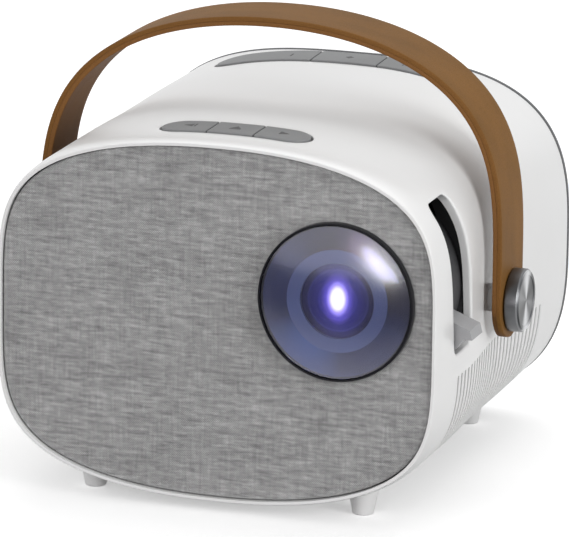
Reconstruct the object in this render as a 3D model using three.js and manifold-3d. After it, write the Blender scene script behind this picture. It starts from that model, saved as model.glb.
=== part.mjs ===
// Mini projector with a leather carry strap, as an assembly of its separate pieces.
// Millimetres, +Z up. The lens looks along -Y and +X is on the lens side. The origin is on the
// table under the middle of the body. Pieces are drawn about the middle of the body, in a group
// that stands at axisHeight above the table.
import * as THREE from 'three';
import { mergeVertices } from 'three/addons/utils/BufferGeometryUtils.js';
import Module from 'manifold-3d';

const wasm = await Module();
wasm.setup();

// Driving sizes
const fit = 0.3;                 // gap between pieces that touch
const overrun = 2;               // how far a cut runs past what it cuts

const panel = {                  // the fabric front
  halfWidth: 60, halfHeight: 47.5, face: -60,
  clothThick: 0.8, baffleThick: 2, sideBow: 2.21, topBow: 4.22,
};
const body = {
  length: 119.6, wall: 2.2,
  lipRun: 1, lipRise: 1,                       // the rim that frames the fabric
  shoulderRun: 8, shoulderRise: 1.9,           // the rounded band behind the rim
  waistStart: 26, waistEnd: 63,                // where the skin sinks, measured from the face
  waistSinkX: 0.6, waistSinkZ: 0.5, waistSideBow: 3.2, waistTopBow: 4.4,
  rearRiseX: 2, rearRiseZ: 0.8, rearBow: 3.1,
  rimRound: 0.7, ledge: 2.6, ledgeThick: 2.2,
};
const rear = {
  depth: 5.4, trimThick: 0.9, trimStand: 0.15, skirt: 2.4, skirtThick: 2.6, plate: 2.2,
  edgeInset: 0.5, faceInset: 7,
};
const lens = {
  edgeInset: 26.1, topInset: 38,               // from the panel's edge and top to the axis
  rimRadius: 21.4, rimDepth: 2.3, glassRadius: 20.6, glassSeat: 1.2, glassEdge: 0.8, dome: 5,
  neckRadius: 19.4, neckWall: 1.5, neckLength: 6.5,
  bezelRadius: 9.9, bezelStep: 13.6, bezelDrop: 1.2, bezelThick: 1.2, pupilRadius: 11.2, pupilThick: 1.6,
  barrelInset: 8.6, barrelRadius: 14.5, barrelWall: 1.8, barrelLength: 19, holderStep: 1.2,
  holderWall: 1.8, lip: 0.9, ringStep: 2, ringWall: 2.3, frontGlass: 5, rearGlass: 3.4, glassBulge: 2.2,
};
const focus = {
  slotInset: 14.5, slotWidth: 15.5, slotDrop: 16.1, slotRise: 25.3, slotLean: 5,
  restAngle: -21.4, turnBack: 1, turnOn: 53, slideTravel: 2.9,
  leverReach: 34.4, leverWidth: 6.6, leverInset: 0.6, leverThick: 9.3, leverNose: 2.6,
  pinRadius: 1.2, pinAngle: 150, pinPlace: 9, pinDepth: 4.1,
};
const leverNoseShares = [[-1, -1.25], [0.1, -0.85], [0.35, 0], [1, -0.6]];
const engine = {                 // the light engine, square about the lens axis
  inset: 30, flange: 1.4, wall: 1.6, rearGap: 10.8, legRadius: 3, legInset: 4.5, lidHeight: 4,
  lcdThick: 2.4, fresnelThick: 1, fresnelGap: 3, heatGlassGap: 3, heatGlassThick: 1.1,
  condenserRadius: 16.1, condenserEdge: 2, condenserBulge: 5,
  cupRadius: 12, cupMouth: 5, cupLength: 6, boardThick: 1.6, ledHalf: 3.5, ledThick: 0.9,
  sinkBase: 3, finLength: 14.5, finThick: 1.1, fanHalf: 17.5, fanThick: 10, fanWall: 1.2,
  hubRadius: 7.5, bladeThick: 0.9, bladeWidth: 7, bladePitch: 38,
};
const lcdPlaceShare = 0.78;      // of the free run from the tray's front wall to the heat glass
const finCount = 9;
const bladeCount = 7;
const speaker = {
  edgeInset: 34, z: -2, flangeRadius: 21, flangeThick: 1.5, basketRadius: 17.5, basketDepth: 8,
  magnetRadius: 11, magnetDepth: 5, coneRadius: 14, coneThick: 1, coneDepth: 4.5,
  holeRadius: 1.4, holePitch: 6.4,
};
const board = { footGap: 2, depth: 35, rearInset: 8, lift: 12, thick: 1.6, postRadius: 2.6, postInset: 5 };
const sockets = {
  hdmiWidth: 15.4, hdmiHeight: 6, usbWidth: 14.6, usbHeight: 7.4, gap: 4,
  sheet: 0.5, depth: 12, jackRadius: 3.6, jackBore: 1.8, dcRadius: 3.9,
  dcBore: 2.8, lift: 4.5,
  eyeX: 0, eyeZ: 20, eyeRadius: 3.4, eyeDepth: 3,
};
const vents = { pitch: 3.15, slot: 1.4, inset: 18, top: -13, edgeInset: 7 };
const ventCount = 26;
const rearVents = { pitch: 3.4, slot: 1.5, halfWidth: 16 };
const rearVentCount = 9;
const keys = {
  proud: 0.35, gap: 0.3, travel: 0.4, flange: 0.8, flangeThick: 0.8,
  frontInset: 15.4, rearInset: 7.3, stemRadius: 1.6, stemDrop: 5.2, switchHalf: 3,
  switchTall: 2.6, plungerRadius: 1.5, plungerTall: 0.9, boardThick: 1.6, boardMargin: 0.5,
  pillarRadius: 1.5,
};
const feet = {
  ground: 4, edgeInset: 22.1, endInset: 12.3, topRadius: 4.35, bottomRadius: 2.85, tall: 7.5,
  spigotRadius: 1.9, spigotTall: 8,
};
const tripod = { radius: 6, bore: 3, tall: 7, bossRadius: 8.5, bossProud: 0.1 };
const strap = {
  inset: 52.9, edgeGap: 5.8, topGap: 26.4, straight: 7.9, width: 20.6, layer: 1.15, glue: 0.2,
  sideBow: 2.08, topBow: 3.38,
};
const pivot = {
  headRadius: 8.6, headThick: 4, bevel: 0.7, shankRadius: 2.5, bushRadius: 3.8, bossRadius: 6, bossDepth: 3,
};
const screws = {
  headRadius: 2.6, headThick: 1.4, shankRadius: 1.3, length: 10, edgeInset: 18, topInset: 17.3,
  postRadius: 3.2, postLength: 13, web: 1.4,
};

// Places worked out from these sizes
const axisHeight = panel.halfHeight + feet.ground;
const waistStart = panel.face + body.waistStart;
const waistEnd = panel.face + body.waistEnd;
const waistHalfWidth = panel.halfWidth - body.waistSinkX;
const waistHalfHeight = panel.halfHeight - body.waistSinkZ;
const rearRim = panel.face + body.length;
const rearHalfWidth = panel.halfWidth + body.rearRiseX;
const rearHalfHeight = panel.halfHeight + body.rearRiseZ;
const rearFace = rearRim + rear.depth;
const lensX = panel.halfWidth - lens.edgeInset;
const lensZ = panel.halfHeight - lens.topInset;
const barrelFront = panel.face + lens.barrelInset;
const holderFront = barrelFront + lens.holderStep;
const ringFront = holderFront + lens.ringStep;
const slotFront = panel.face + focus.slotInset;
const slotRear = slotFront + focus.slotWidth;
const slotFoot = lensZ - focus.slotDrop;
const slotTop = lensZ + focus.slotRise;
const leverFront = slotFront + focus.leverInset;
const engineFront = panel.face + engine.inset;
const engineHalf = lens.barrelRadius + fit + lens.holderWall + engine.flange;
const fanBack = rearFace - rear.plate - engine.rearGap;
const fanFront = fanBack - engine.fanThick;
const sinkFront = fanFront - fit - engine.finLength - engine.sinkBase;
const ledBoardFront = sinkFront - fit - engine.boardThick;
const engineBack = ledBoardFront - fit;
const cupBack = engineBack - engine.wall - fit;
const cupFront = cupBack - engine.cupLength;
const condenserFront = cupFront - engine.condenserBulge - engine.condenserEdge;
const heatGlassFront = condenserFront - engine.heatGlassGap - engine.heatGlassThick;
const lcdStack = 2 * (engine.fresnelThick + engine.fresnelGap) + engine.lcdThick;
const lcdRun = heatGlassFront - engineFront - engine.wall - lcdStack;
const fresnelFront = engineFront + engine.wall + lcdRun * lcdPlaceShare;
const lcdFront = fresnelFront + engine.fresnelThick + engine.fresnelGap;
const fresnelBack = lcdFront + engine.lcdThick + engine.fresnelGap;
const speakerX = speaker.edgeInset - panel.halfWidth;
const ventFront = panel.face + vents.inset;
const ventInnerX = panel.halfWidth - vents.edgeInset;
const footX = panel.halfWidth - feet.edgeInset;
const footEnds = [['front', panel.face + feet.endInset], ['rear', rearRim - feet.endInset]];
const boardHalf = footX - feet.spigotRadius - board.footGap;
const boardRear = rearFace - board.rearInset;
const boardFront = boardRear - board.depth;
const boardFace = board.lift - panel.halfHeight;
const portZ = boardFace + sockets.lift;
const portRow = sockets.hdmiWidth + sockets.usbWidth + 2 * (sockets.jackRadius + sockets.dcRadius)
  + 3 * sockets.gap;
const hdmiX = (sockets.hdmiWidth - portRow) / 2;
const usbX = hdmiX + sockets.hdmiWidth / 2 + sockets.gap + sockets.usbWidth / 2;
const jackX = usbX + sockets.usbWidth / 2 + sockets.gap + sockets.jackRadius;
const dcX = jackX + sockets.jackRadius + sockets.gap + sockets.dcRadius;
const bossFace = -panel.halfHeight - tripod.bossProud;
const strapY = panel.face + strap.inset;
const strapHalfWidth = panel.halfWidth + strap.edgeGap;
const strapTop = panel.halfHeight + strap.topGap;
const shankEnd = waistHalfWidth - body.wall - pivot.bossDepth + fit;
const headBack = strapHalfWidth + fit;
const headFace = headBack + pivot.headThick;
const screwX = rearHalfWidth - screws.edgeInset;
const screwZ = rearHalfHeight - screws.topInset;

// The two key strips. The rear one bends forwards at its ends.
const frontKeys = {
  y: panel.face + keys.frontInset, halfLength: 20.9, halfDepth: 6, bend: 0, split: 6.5, place: 13.2,
};
const rearKeys = {
  y: rearRim - keys.rearInset, halfLength: 36.5, halfDepth: 6, bend: 7.6, split: 9.6, place: 18,
};

// Facets
const skinSides = 48;
const skinSteps = 9;
const roundSides = 24;
const smallSides = 14;
const fewSides = 12;
const keyEndSteps = 8;
const keySideSteps = 6;

// Colours, sRGB
const materials = {
  white: finish('#f2f3f4', 0.28, 0), cloth: finish('#8f8f8f', 0.95, 0),
  black: finish('#17181a', 0.5, 0), grey: finish('#9a9b9d', 0.45, 0),
  seam: finish('#6d7073', 0.6, 0), glass: finish('#20263c', 0.05, 0),
  leather: finish('#8a6544', 0.6, 0), leatherInner: finish('#5b3f29', 0.75, 0),
  metal: finish('#c4c6c8', 0.3, 1), board: finish('#1f5a3a', 0.6, 0), led: finish('#f4e9b0', 0.5, 0),
  brass: finish('#b58e46', 0.35, 1), cone: finish('#2a2a2c', 0.9, 0),
};

function finish(color, roughness, metalness) {
  return new THREE.MeshStandardMaterial({ color, roughness, metalness });
}

// Solids
function solid(geometry) {
  const bare = new THREE.BufferGeometry();
  bare.setAttribute('position', geometry.getAttribute('position').clone());
  if (geometry.index) bare.setIndex(geometry.index.clone());
  const merged = mergeVertices(bare);
  const points = merged.getAttribute('position').array;
  const index = merged.index.array;
  const faces = [];
  for (let i = 0; i < index.length; i += 3) {
    const [a, b, c] = [index[i], index[i + 1], index[i + 2]];
    if (a !== b && b !== c && c !== a) faces.push(a, b, c);
  }
  const corner = (k) => new THREE.Vector3().fromArray(points, k * 3);
  let volume = 0;
  for (let i = 0; i < faces.length; i += 3) {
    volume += corner(faces[i]).dot(corner(faces[i + 1]).cross(corner(faces[i + 2])));
  }
  if (volume < 0) {
    for (let i = 0; i < faces.length; i += 3) {
      [faces[i + 1], faces[i + 2]] = [faces[i + 2], faces[i + 1]];
    }
  }
  return new wasm.Manifold(new wasm.Mesh({
    numProp: 3, vertProperties: new Float32Array(points), triVerts: new Uint32Array(faces),
  }));
}

function piece(name, shape, material, [x, y, z] = [0, 0, 0]) {
  const mesh = shape.getMesh();
  const geometry = new THREE.BufferGeometry();
  geometry.setAttribute('position', new THREE.BufferAttribute(mesh.vertProperties, mesh.numProp));
  geometry.setIndex(new THREE.BufferAttribute(mesh.triVerts, 1));
  geometry.computeVertexNormals();
  const made = new THREE.Mesh(geometry, material);
  made.name = name;
  made.position.set(x, y, z);
  return made;
}

function joined(...shapes) {
  return shapes.reduce((whole, part) => whole.add(part));
}

function cut(whole, ...shapes) {
  return shapes.reduce((rest, part) => rest.subtract(part), whole);
}

// Boxes and plates by their two corners
function box(x0, x1, y0, y1, z0, z1) {
  const geometry = new THREE.BoxGeometry(x1 - x0, y1 - y0, z1 - z0);
  return geometry.translate((x0 + x1) / 2, (y0 + y1) / 2, (z0 + z1) / 2);
}

function block(...sides) {
  return solid(box(...sides));
}

// Turned shapes. The profile is [radius, place] pairs along the axis. A ring's profile closes
// on itself.
function turned(profile, axis, [x, y, z] = [0, 0, 0], sides = roundSides) {
  const geometry = new THREE.LatheGeometry(profile.map(([r, a]) => new THREE.Vector2(r, a)), sides);
  if (axis === 'x') geometry.rotateZ(-Math.PI / 2);
  if (axis === 'z') geometry.rotateX(Math.PI / 2);
  geometry.translate(x, y, z);
  return solid(geometry);
}

function rod(radius, from, to, axis, centre, sides = smallSides) {
  return turned([[0, from], [radius, from], [radius, to], [0, to]], axis, centre, sides);
}

function tube(inner, outer, from, to, axis, centre, sides = roundSides) {
  const profile = [[inner, from], [outer, from], [outer, to], [inner, to], [inner, from]];
  return turned(profile, axis, centre, sides);
}

// A skin through rings of equal count. Looped joins the last ring to the first, else both end
// rings are capped.
function lofted(rings, looped = false) {
  const count = rings[0].length;
  const faces = [];
  const links = looped ? rings.length : rings.length - 1;
  for (let i = 0; i < links; i++) {
    const here = i * count;
    const there = ((i + 1) % rings.length) * count;
    for (let j = 0; j < count; j++) {
      const k = (j + 1) % count;
      faces.push(here + j, here + k, there + k, here + j, there + k, there + j);
    }
  }
  if (!looped) {
    const end = (rings.length - 1) * count;
    for (let j = 1; j < count - 1; j++) {
      faces.push(0, j + 1, j, end, end + j, end + j + 1);
    }
  }
  const geometry = new THREE.BufferGeometry();
  const places = new Float32Array(rings.flat().flatMap((p) => [p.x, p.y, p.z]));
  geometry.setAttribute('position', new THREE.BufferAttribute(places, 3));
  geometry.setIndex(faces);
  return solid(geometry);
}

// Cross-sections of the body: |x/w|^p + |z/h|^q = 1, found along even directions
const quarter = Math.PI / 2;

function bowRing(y, halfWidth, halfHeight, sideBow, topBow, sides = skinSides) {
  const ring = [];
  for (let i = 0; i < sides; i++) {
    const angle = (i / sides) * 4 * quarter;
    const c = Math.abs(Math.cos(angle)) / halfWidth;
    const s = Math.abs(Math.sin(angle)) / halfHeight;
    let low = 0;
    let high = halfWidth + halfHeight;
    for (let k = 0; k < 40; k++) {
      const r = (low + high) / 2;
      if ((c * r) ** sideBow + (s * r) ** topBow < 1) low = r; else high = r;
    }
    ring.push(new THREE.Vector3(low * Math.cos(angle), y, low * Math.sin(angle)));
  }
  return ring;
}

const eased = (t) => {
  const u = Math.min(Math.max(t, 0), 1);
  return u * u * (3 - 2 * u);
};
const mixed = (from, to, t) => from + (to - from) * t;

const lipY = panel.face - body.lipRun;
const shoulderY = lipY + body.shoulderRun;

// Half-width, half-height and bows of the outer skin at depth y
function skin(y) {
  const back = Math.min(Math.max((shoulderY - y) / body.shoulderRun, 0), 1);
  const rise = mixed(body.lipRise, body.shoulderRise, Math.sqrt(1 - back * back));
  const sink = eased((y - waistStart) / (waistEnd - waistStart));
  const flare = eased((y - waistEnd) / (rearRim - waistEnd));
  const width = mixed(panel.halfWidth + rise, waistHalfWidth, sink);
  const height = mixed(panel.halfHeight + rise, waistHalfHeight, sink);
  return [
    mixed(width, rearHalfWidth, flare), mixed(height, rearHalfHeight, flare),
    mixed(mixed(panel.sideBow, body.waistSideBow, sink), body.rearBow, flare),
    mixed(mixed(panel.topBow, body.waistTopBow, sink), body.rearBow, flare),
  ];
}

function skinRing(y, inset = 0, sides = skinSides) {
  const [w, h, p, q] = skin(y);
  return bowRing(y, w - inset, h - inset, p, q, sides);
}

// Depths of the rings along the body: close together round the shoulder, then even steps
function skinDepths(from, to, steps) {
  const depths = [];
  for (let i = 0; i <= steps; i++) depths.push(mixed(from, to, i / steps));
  return depths;
}
const shoulderTurnShares = [1, 0.92, 0.7, 0.35];
const shoulderDepths = shoulderTurnShares.map((share) => shoulderY - body.shoulderRun * share);

// A closed solid of the body's outer form, grown or shrunk
function envelope(grow, sides = skinSides) {
  const depths = [...shoulderDepths, ...skinDepths(shoulderY, rearRim, skinSteps)];
  return lofted(depths.map((y) => skinRing(y, -grow, sides)));
}

const lensCentre = [lensX, 0, lensZ];
const baffleBack = panel.face + panel.clothThick + fit + panel.baffleThick;
const ledgeFront = baffleBack + fit;
const ledgeBack = ledgeFront + body.ledgeThick;
const innerEnvelope = envelope(-body.wall - fit);
const wallEnvelope = envelope(-body.wall / 2);

// A key strip's outline: a slot with round ends, bent as the strip is
function keyOutline(strip, grow) {
  const radius = strip.halfDepth + grow;
  const reach = strip.halfLength + grow - radius;
  const half = [];
  for (let i = 0; i <= keyEndSteps; i++) {
    const turn = ((2 * i) / keyEndSteps - 1) * quarter;
    half.push([reach + radius * Math.cos(turn), radius * Math.sin(turn)]);
  }
  for (let i = 1; i < keySideSteps; i++) half.push([reach * (1 - (2 * i) / keySideSteps), radius]);
  const spots = [...half, ...half.map(([x, v]) => [-x, -v])];
  return new THREE.Shape(spots.map(([x, v]) => new THREE.Vector2(
    x, strip.y + v - strip.bend * (x / strip.halfLength) ** 2)));
}

function keyColumn(strip, grow, low, high) {
  const geometry = new THREE.ExtrudeGeometry(keyOutline(strip, grow), {
    depth: high - low, bevelEnabled: false,
  });
  geometry.translate(0, 0, low);
  return solid(geometry);
}

// Depths of the rear stack, and the four corner screws
const trimFront = rearRim + fit;
const coverFront = trimFront + rear.trimThick + fit;
const skirtFront = coverFront - rear.skirt;
const screwPlaces = [
  [-screwX, -screwZ], [-screwX, screwZ], [screwX, -screwZ], [screwX, screwZ],
];

// The focus slot leans forward towards its top
function focusSlot() {
  const far = panel.halfWidth + 2 * overrun + body.wall;
  const level = (z, lean) => [
    [lensX, slotFront], [far, slotFront], [far, slotRear], [lensX, slotRear],
  ].map(([x, y]) => new THREE.Vector3(x, y - lean, z));
  return lofted([level(slotFoot, 0), level(slotTop, focus.slotLean)]);
}

// Main shell
function mainShell() {
  const outer = [...shoulderDepths, ...skinDepths(shoulderY, rearRim - body.rimRound, skinSteps)];
  const rings = outer.map((y) => skinRing(y));
  rings.push(skinRing(rearRim, body.rimRound));
  rings.push(skinRing(rearRim, body.wall));
  const innerSteps = skinDepths(rearRim, ledgeBack + body.ledge, skinSteps - 4).slice(1);
  for (const y of innerSteps) rings.push(skinRing(y, body.wall));
  const seat = [panel.halfWidth + fit, panel.halfHeight + fit];
  const ledge = [panel.halfWidth - body.ledge, panel.halfHeight - body.ledge];
  rings.push(bowRing(ledgeBack, ...ledge, panel.sideBow, panel.topBow));
  rings.push(bowRing(ledgeFront, ...ledge, panel.sideBow, panel.topBow));
  rings.push(bowRing(ledgeFront, ...seat, panel.sideBow, panel.topBow));
  rings.push(bowRing(lipY, ...seat, panel.sideBow, panel.topBow));
  let shell = lofted(rings, true);

  const pillars = [];
  for (const x of [-boardHalf + board.postInset, boardHalf - board.postInset]) {
    for (const y of [boardFront + board.postInset, boardRear - 3 * board.postInset]) {
      const top = boardFace - board.thick - fit;
      pillars.push(rod(board.postRadius, -panel.halfHeight, top, 'z', [x, y, 0], fewSides));
    }
  }
  pillars.push(rod(tripod.bossRadius, -panel.halfHeight, bossFace + tripod.tall + body.wall,
    'z', [0, 0, 0]));
  for (const side of [-1, 1]) {
    const inner = waistHalfWidth - body.wall - pivot.bossDepth;
    pillars.push(rod(pivot.bossRadius, inner * side, waistHalfWidth * side, 'x', [0, strapY, 0]));
  }
  const postBack = skirtFront - fit;
  for (const [x, z] of screwPlaces) {
    pillars.push(rod(screws.postRadius, postBack - screws.postLength, postBack, 'y', [x, 0, z], fewSides));
    const wallSide = Math.sign(x) * (rearHalfWidth + overrun);
    pillars.push(block(Math.min(x, wallSide), Math.max(x, wallSide), postBack - screws.postLength, postBack,
      z - screws.web / 2, z + screws.web / 2));
  }
  shell = joined(shell, ...pillars.map((pillar) => pillar.intersect(wallEnvelope)));
  const boss = rod(tripod.bossRadius, bossFace, -panel.halfHeight + body.wall, 'z');
  shell = shell.add(boss);

  const cuts = [
    focusSlot(),
    keyColumn(frontKeys, fit, panel.halfHeight / 2, panel.halfHeight + body.wall + overrun),
    keyColumn(rearKeys, fit, panel.halfHeight / 2, panel.halfHeight + body.wall + overrun),
    rod(tripod.radius + fit, bossFace - overrun, bossFace + tripod.tall + fit, 'z'),
  ];
  const side = panel.halfWidth + overrun + body.wall;
  for (let i = 0; i < ventCount; i++) {
    const y = ventFront + i * vents.pitch;
    cuts.push(block(ventInnerX, side, y, y + vents.slot, -panel.halfHeight - overrun, vents.top));
    cuts.push(block(-side, -ventInnerX, y, y + vents.slot, -panel.halfHeight - overrun, vents.top));
  }
  for (const x of [-footX, footX]) {
    for (const [, y] of footEnds) {
      cuts.push(rod(feet.spigotRadius + fit, -axisHeight, -panel.halfHeight / 2, 'z', [x, y, 0], fewSides));
    }
  }
  for (const [x, z] of screwPlaces) {
    cuts.push(rod(screws.shankRadius + fit, postBack - screws.postLength / 2 - screws.length,
      rearRim, 'y', [x, 0, z], fewSides));
  }
  for (const hand of [-1, 1]) {
    cuts.push(rod(pivot.shankRadius + fit, hand * lensX, hand * side, 'x', [0, strapY, 0], smallSides));
  }
  return cut(shell, ...cuts);
}

// Front: baffle, fabric, lens rim and glass
function frontPlate(grow, from, to) {
  const rings = [from, to].map((y) => bowRing(y, panel.halfWidth + grow, panel.halfHeight + grow,
    panel.sideBow, panel.topBow));
  return lofted(rings);
}

function baffle() {
  const front = panel.face + panel.clothThick + fit;
  const hole = rod(lens.neckRadius + fit, front - overrun, baffleBack + overrun, 'y', lensCentre,
    roundSides);
  const holes = [];
  const reach = speaker.coneRadius - speaker.holeRadius;
  const rows = Math.floor(reach / speaker.holePitch);
  for (let i = -rows; i <= rows; i++) {
    for (let j = -rows; j <= rows; j++) {
      const [dx, dz] = [i * speaker.holePitch, j * speaker.holePitch];
      if (Math.hypot(dx, dz) > reach) continue;
      holes.push(rod(speaker.holeRadius, front - overrun, baffleBack + overrun, 'y',
        [speakerX + dx, 0, speaker.z + dz], 6));
    }
  }
  return cut(frontPlate(-fit, front, baffleBack), hole, ...holes);
}

function cloth() {
  const back = panel.face + panel.clothThick;
  return cut(frontPlate(0, panel.face, back), rod(lens.neckRadius + fit, panel.face - overrun,
    back + overrun, 'y', lensCentre, roundSides));
}

const rimFront = panel.face - fit - lens.rimDepth;
const glassBack = rimFront + lens.glassSeat;
const bezelFront = glassBack + fit + lens.bezelDrop;
const bezelBack = bezelFront + lens.bezelThick;

// The rim carries a stepped bezel that hides the barrel behind the glass
function lensRim() {
  const neckInner = lens.neckRadius - lens.neckWall;
  const back = panel.face - fit;
  return turned([
    [lens.bezelRadius, bezelFront], [lens.bezelStep, bezelFront],
    [neckInner, glassBack + fit], [lens.glassRadius + fit, glassBack + fit],
    [lens.glassRadius + fit, rimFront], [lens.rimRadius - fit, rimFront],
    [lens.rimRadius, rimFront + fit], [lens.rimRadius, back], [lens.neckRadius, back],
    [lens.neckRadius, back + lens.neckLength], [neckInner, back + lens.neckLength],
    [neckInner, bezelBack], [lens.bezelRadius, bezelBack], [lens.bezelRadius, bezelFront],
  ], 'y', lensCentre);
}

// A lens between two faces. A bulge of zero is a flat face.
function lensElement(radius, front, back, frontBulge, backBulge) {
  const steps = 3;
  const profile = [];
  for (let i = 0; i <= steps; i++) {
    const r = radius * Math.sin((i / steps) * quarter);
    profile.push([r, front - frontBulge * (1 - (r / radius) ** 2)]);
  }
  for (let i = steps; i >= 0; i--) {
    const r = radius * Math.sin((i / steps) * quarter);
    profile.push([r, back + backBulge * (1 - (r / radius) ** 2)]);
  }
  return turned(profile, 'y', lensCentre);
}

function frontGlass() {
  const edge = glassBack - lens.glassEdge;
  return lensElement(lens.glassRadius, edge, glassBack, edge - (panel.face - lens.dome), 0);
}

function pupilGlass() {
  const front = bezelBack + fit;
  return lensElement(lens.pupilRadius, front, front + lens.pupilThick, 0, lens.glassBulge / 2);
}

// Focusing: holder tube, sliding barrel, turning ring with its lever and the follower pin
const holderInner = lens.barrelRadius + fit;
const holderOuter = holderInner + lens.holderWall;
const ringInner = holderOuter + fit;
const ringOuter = ringInner + lens.ringWall;
const flangeFront = engineFront - fit - lens.holderWall;
const pinY = barrelFront + focus.pinPlace;
const degree = Math.PI / 180;

// A slot in a round wall that climbs along the axis as it goes round
function helicalSlot(inner, outer, fromAngle, toAngle, fromY, toY, halfSlot) {
  const steps = fewSides;
  const rings = [];
  for (let i = 0; i <= steps; i++) {
    const angle = mixed(fromAngle, toAngle, i / steps) * degree;
    const y = mixed(fromY, toY, i / steps);
    const at = (r, a) => new THREE.Vector3(lensX + r * Math.cos(angle), a,
      lensZ + r * Math.sin(angle));
    rings.push([at(inner, y - halfSlot), at(outer, y - halfSlot), at(outer, y + halfSlot),
      at(inner, y + halfSlot)]);
  }
  return lofted(rings);
}

function lensHolder() {
  const flange = tube(holderInner, engineHalf - fit, flangeFront, engineFront - fit, 'y', lensCentre);
  const sleeve = tube(holderInner, holderOuter, holderFront, engineFront - fit, 'y', lensCentre);
  const lip = tube(holderInner, holderOuter + lens.lip, holderFront,
    ringFront - fit, 'y', lensCentre);
  const slotHalf = focus.pinRadius + fit;
  const slot = helicalSlot(holderInner - fit, holderOuter + fit,
    focus.pinAngle - slotHalf / holderOuter / degree, focus.pinAngle + slotHalf / holderOuter / degree,
    pinY + focus.slideTravel / 2, pinY + focus.slideTravel / 2,
    focus.slideTravel / 2 + slotHalf + fit);
  return cut(joined(sleeve, flange, lip), slot);
}

function focusRing() {
  const whole = tube(ringInner, ringOuter, ringFront, flangeFront - fit, 'y', lensCentre);
  const spare = (focus.pinRadius + fit) / ringInner / degree;
  const rise = focus.slideTravel / focus.turnOn;
  const before = focus.turnBack + spare;
  const after = focus.turnOn + spare;
  const slot = helicalSlot(ringInner - fit, ringOuter + fit,
    focus.pinAngle + before, focus.pinAngle - after,
    pinY - before * rise, pinY + after * rise, focus.pinRadius + 2 * fit);
  return whole.subtract(slot);
}

// The lever's nose runs out to a ridge above its middle
function lever() {
  const half = focus.leverWidth / 2;
  const root = ringOuter + fit;
  const outline = new THREE.Shape();
  outline.moveTo(root, -half);
  for (const [heightShare, noseShare] of leverNoseShares) {
    outline.lineTo(focus.leverReach + focus.leverNose * noseShare, half * heightShare);
  }
  outline.lineTo(root, half);
  const geometry = new THREE.ExtrudeGeometry(outline, { depth: focus.leverThick, bevelEnabled: false });
  geometry.rotateX(quarter);
  geometry.translate(0, leverFront + focus.leverThick, 0);
  geometry.rotateY(-focus.restAngle * degree);
  geometry.translate(...lensCentre);
  return solid(geometry);
}

function barrel() {
  const inner = lens.barrelRadius - lens.barrelWall;
  const back = barrelFront + lens.barrelLength;
  const stepBack = barrelFront + lens.frontGlass + lens.glassBulge;
  const stepIn = inner - lens.barrelWall;
  return turned([
    [inner, barrelFront], [lens.barrelRadius, barrelFront], [lens.barrelRadius, back],
    [inner, back], [inner, back - lens.rearGlass - lens.glassBulge],
    [stepIn, back - lens.rearGlass - lens.glassBulge], [stepIn, stepBack], [inner, stepBack],
    [inner, barrelFront],
  ], 'y', lensCentre);
}

function barrelGlass(front) {
  const radius = lens.barrelRadius - lens.barrelWall - fit;
  if (front) {
    const back = barrelFront + lens.frontGlass + lens.glassBulge - fit;
    return lensElement(radius, back - lens.frontGlass + lens.glassBulge, back, lens.glassBulge, 0);
  }
  const start = barrelFront + lens.barrelLength - lens.rearGlass - lens.glassBulge + fit;
  return lensElement(radius, start, start + lens.rearGlass - lens.glassBulge, 0, lens.glassBulge);
}

function followerPin() {
  const pin = new THREE.CylinderGeometry(focus.pinRadius, focus.pinRadius, focus.pinDepth, fewSides);
  pin.rotateZ(-quarter);
  pin.translate(lens.barrelRadius + fit + focus.pinDepth / 2, 0, 0);
  pin.rotateY(-focus.pinAngle * degree);
  pin.translate(lensX, pinY, lensZ);
  return solid(pin);
}

// Light engine
const innerHalf = engineHalf - engine.wall;
const plate = (from, thick) => framePlate(innerHalf - fit, from, from + thick);

function framePlate(half, from, to) {
  return block(lensX - half, lensX + half, from, to, lensZ - half, lensZ + half);
}

function engineWindows() {
  return [
    rod(holderInner + fit, engineFront - overrun, engineFront + engine.wall + overrun, 'y',
      lensCentre, roundSides),
    rod(engine.cupMouth + engine.wall, engineBack - engine.wall - overrun, engineBack + overrun, 'y',
      lensCentre),
  ];
}

function opticsTray() {
  const top = lensZ + engineHalf - engine.lidHeight;
  const outside = block(lensX - engineHalf, lensX + engineHalf, engineFront, engineBack,
    lensZ - engineHalf, top);
  const inside = block(lensX - innerHalf, lensX + innerHalf, engineFront + engine.wall,
    engineBack - engine.wall, lensZ - innerHalf, top + overrun);
  const legs = [];
  for (const x of [-1, 1]) {
    for (const y of [engineFront + engine.legInset, engineBack - engine.legInset]) {
      legs.push(rod(engine.legRadius, -axisHeight, lensZ - innerHalf, 'z',
        [lensX + x * (engineHalf - engine.legInset), y, 0], fewSides));
    }
  }
  const box = cut(outside, inside, ...engineWindows());
  return joined(box, ...legs.map((leg) => leg.intersect(innerEnvelope)));
}

function opticsLid() {
  const base = lensZ + engineHalf - engine.lidHeight + fit;
  const top = lensZ + engineHalf;
  const outside = block(lensX - engineHalf, lensX + engineHalf, engineFront, engineBack, base, top);
  const inside = block(lensX - innerHalf, lensX + innerHalf, engineFront + engine.wall,
    engineBack - engine.wall, base - overrun, top - engine.wall);
  return cut(outside, inside, ...engineWindows());
}

function reflectorCup() {
  return turned([
    [engine.cupMouth, cupBack], [engine.cupMouth + engine.wall, cupBack],
    [engine.cupRadius + engine.wall, cupFront], [engine.cupRadius, cupFront], [engine.cupMouth, cupBack],
  ], 'y', lensCentre);
}

function heatSink() {
  const base = framePlate(engineHalf - fit, sinkFront, sinkFront + engine.sinkBase);
  const fins = [];
  const span = 2 * (engineHalf - fit) - engine.finThick;
  for (let i = 0; i < finCount; i++) {
    const x = lensX - span / 2 + (span * i) / (finCount - 1);
    fins.push(block(x - engine.finThick / 2, x + engine.finThick / 2, sinkFront + engine.sinkBase / 2,
      fanFront - fit, lensZ - engineHalf + fit, lensZ + engineHalf - fit));
  }
  return joined(base, ...fins);
}

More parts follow.
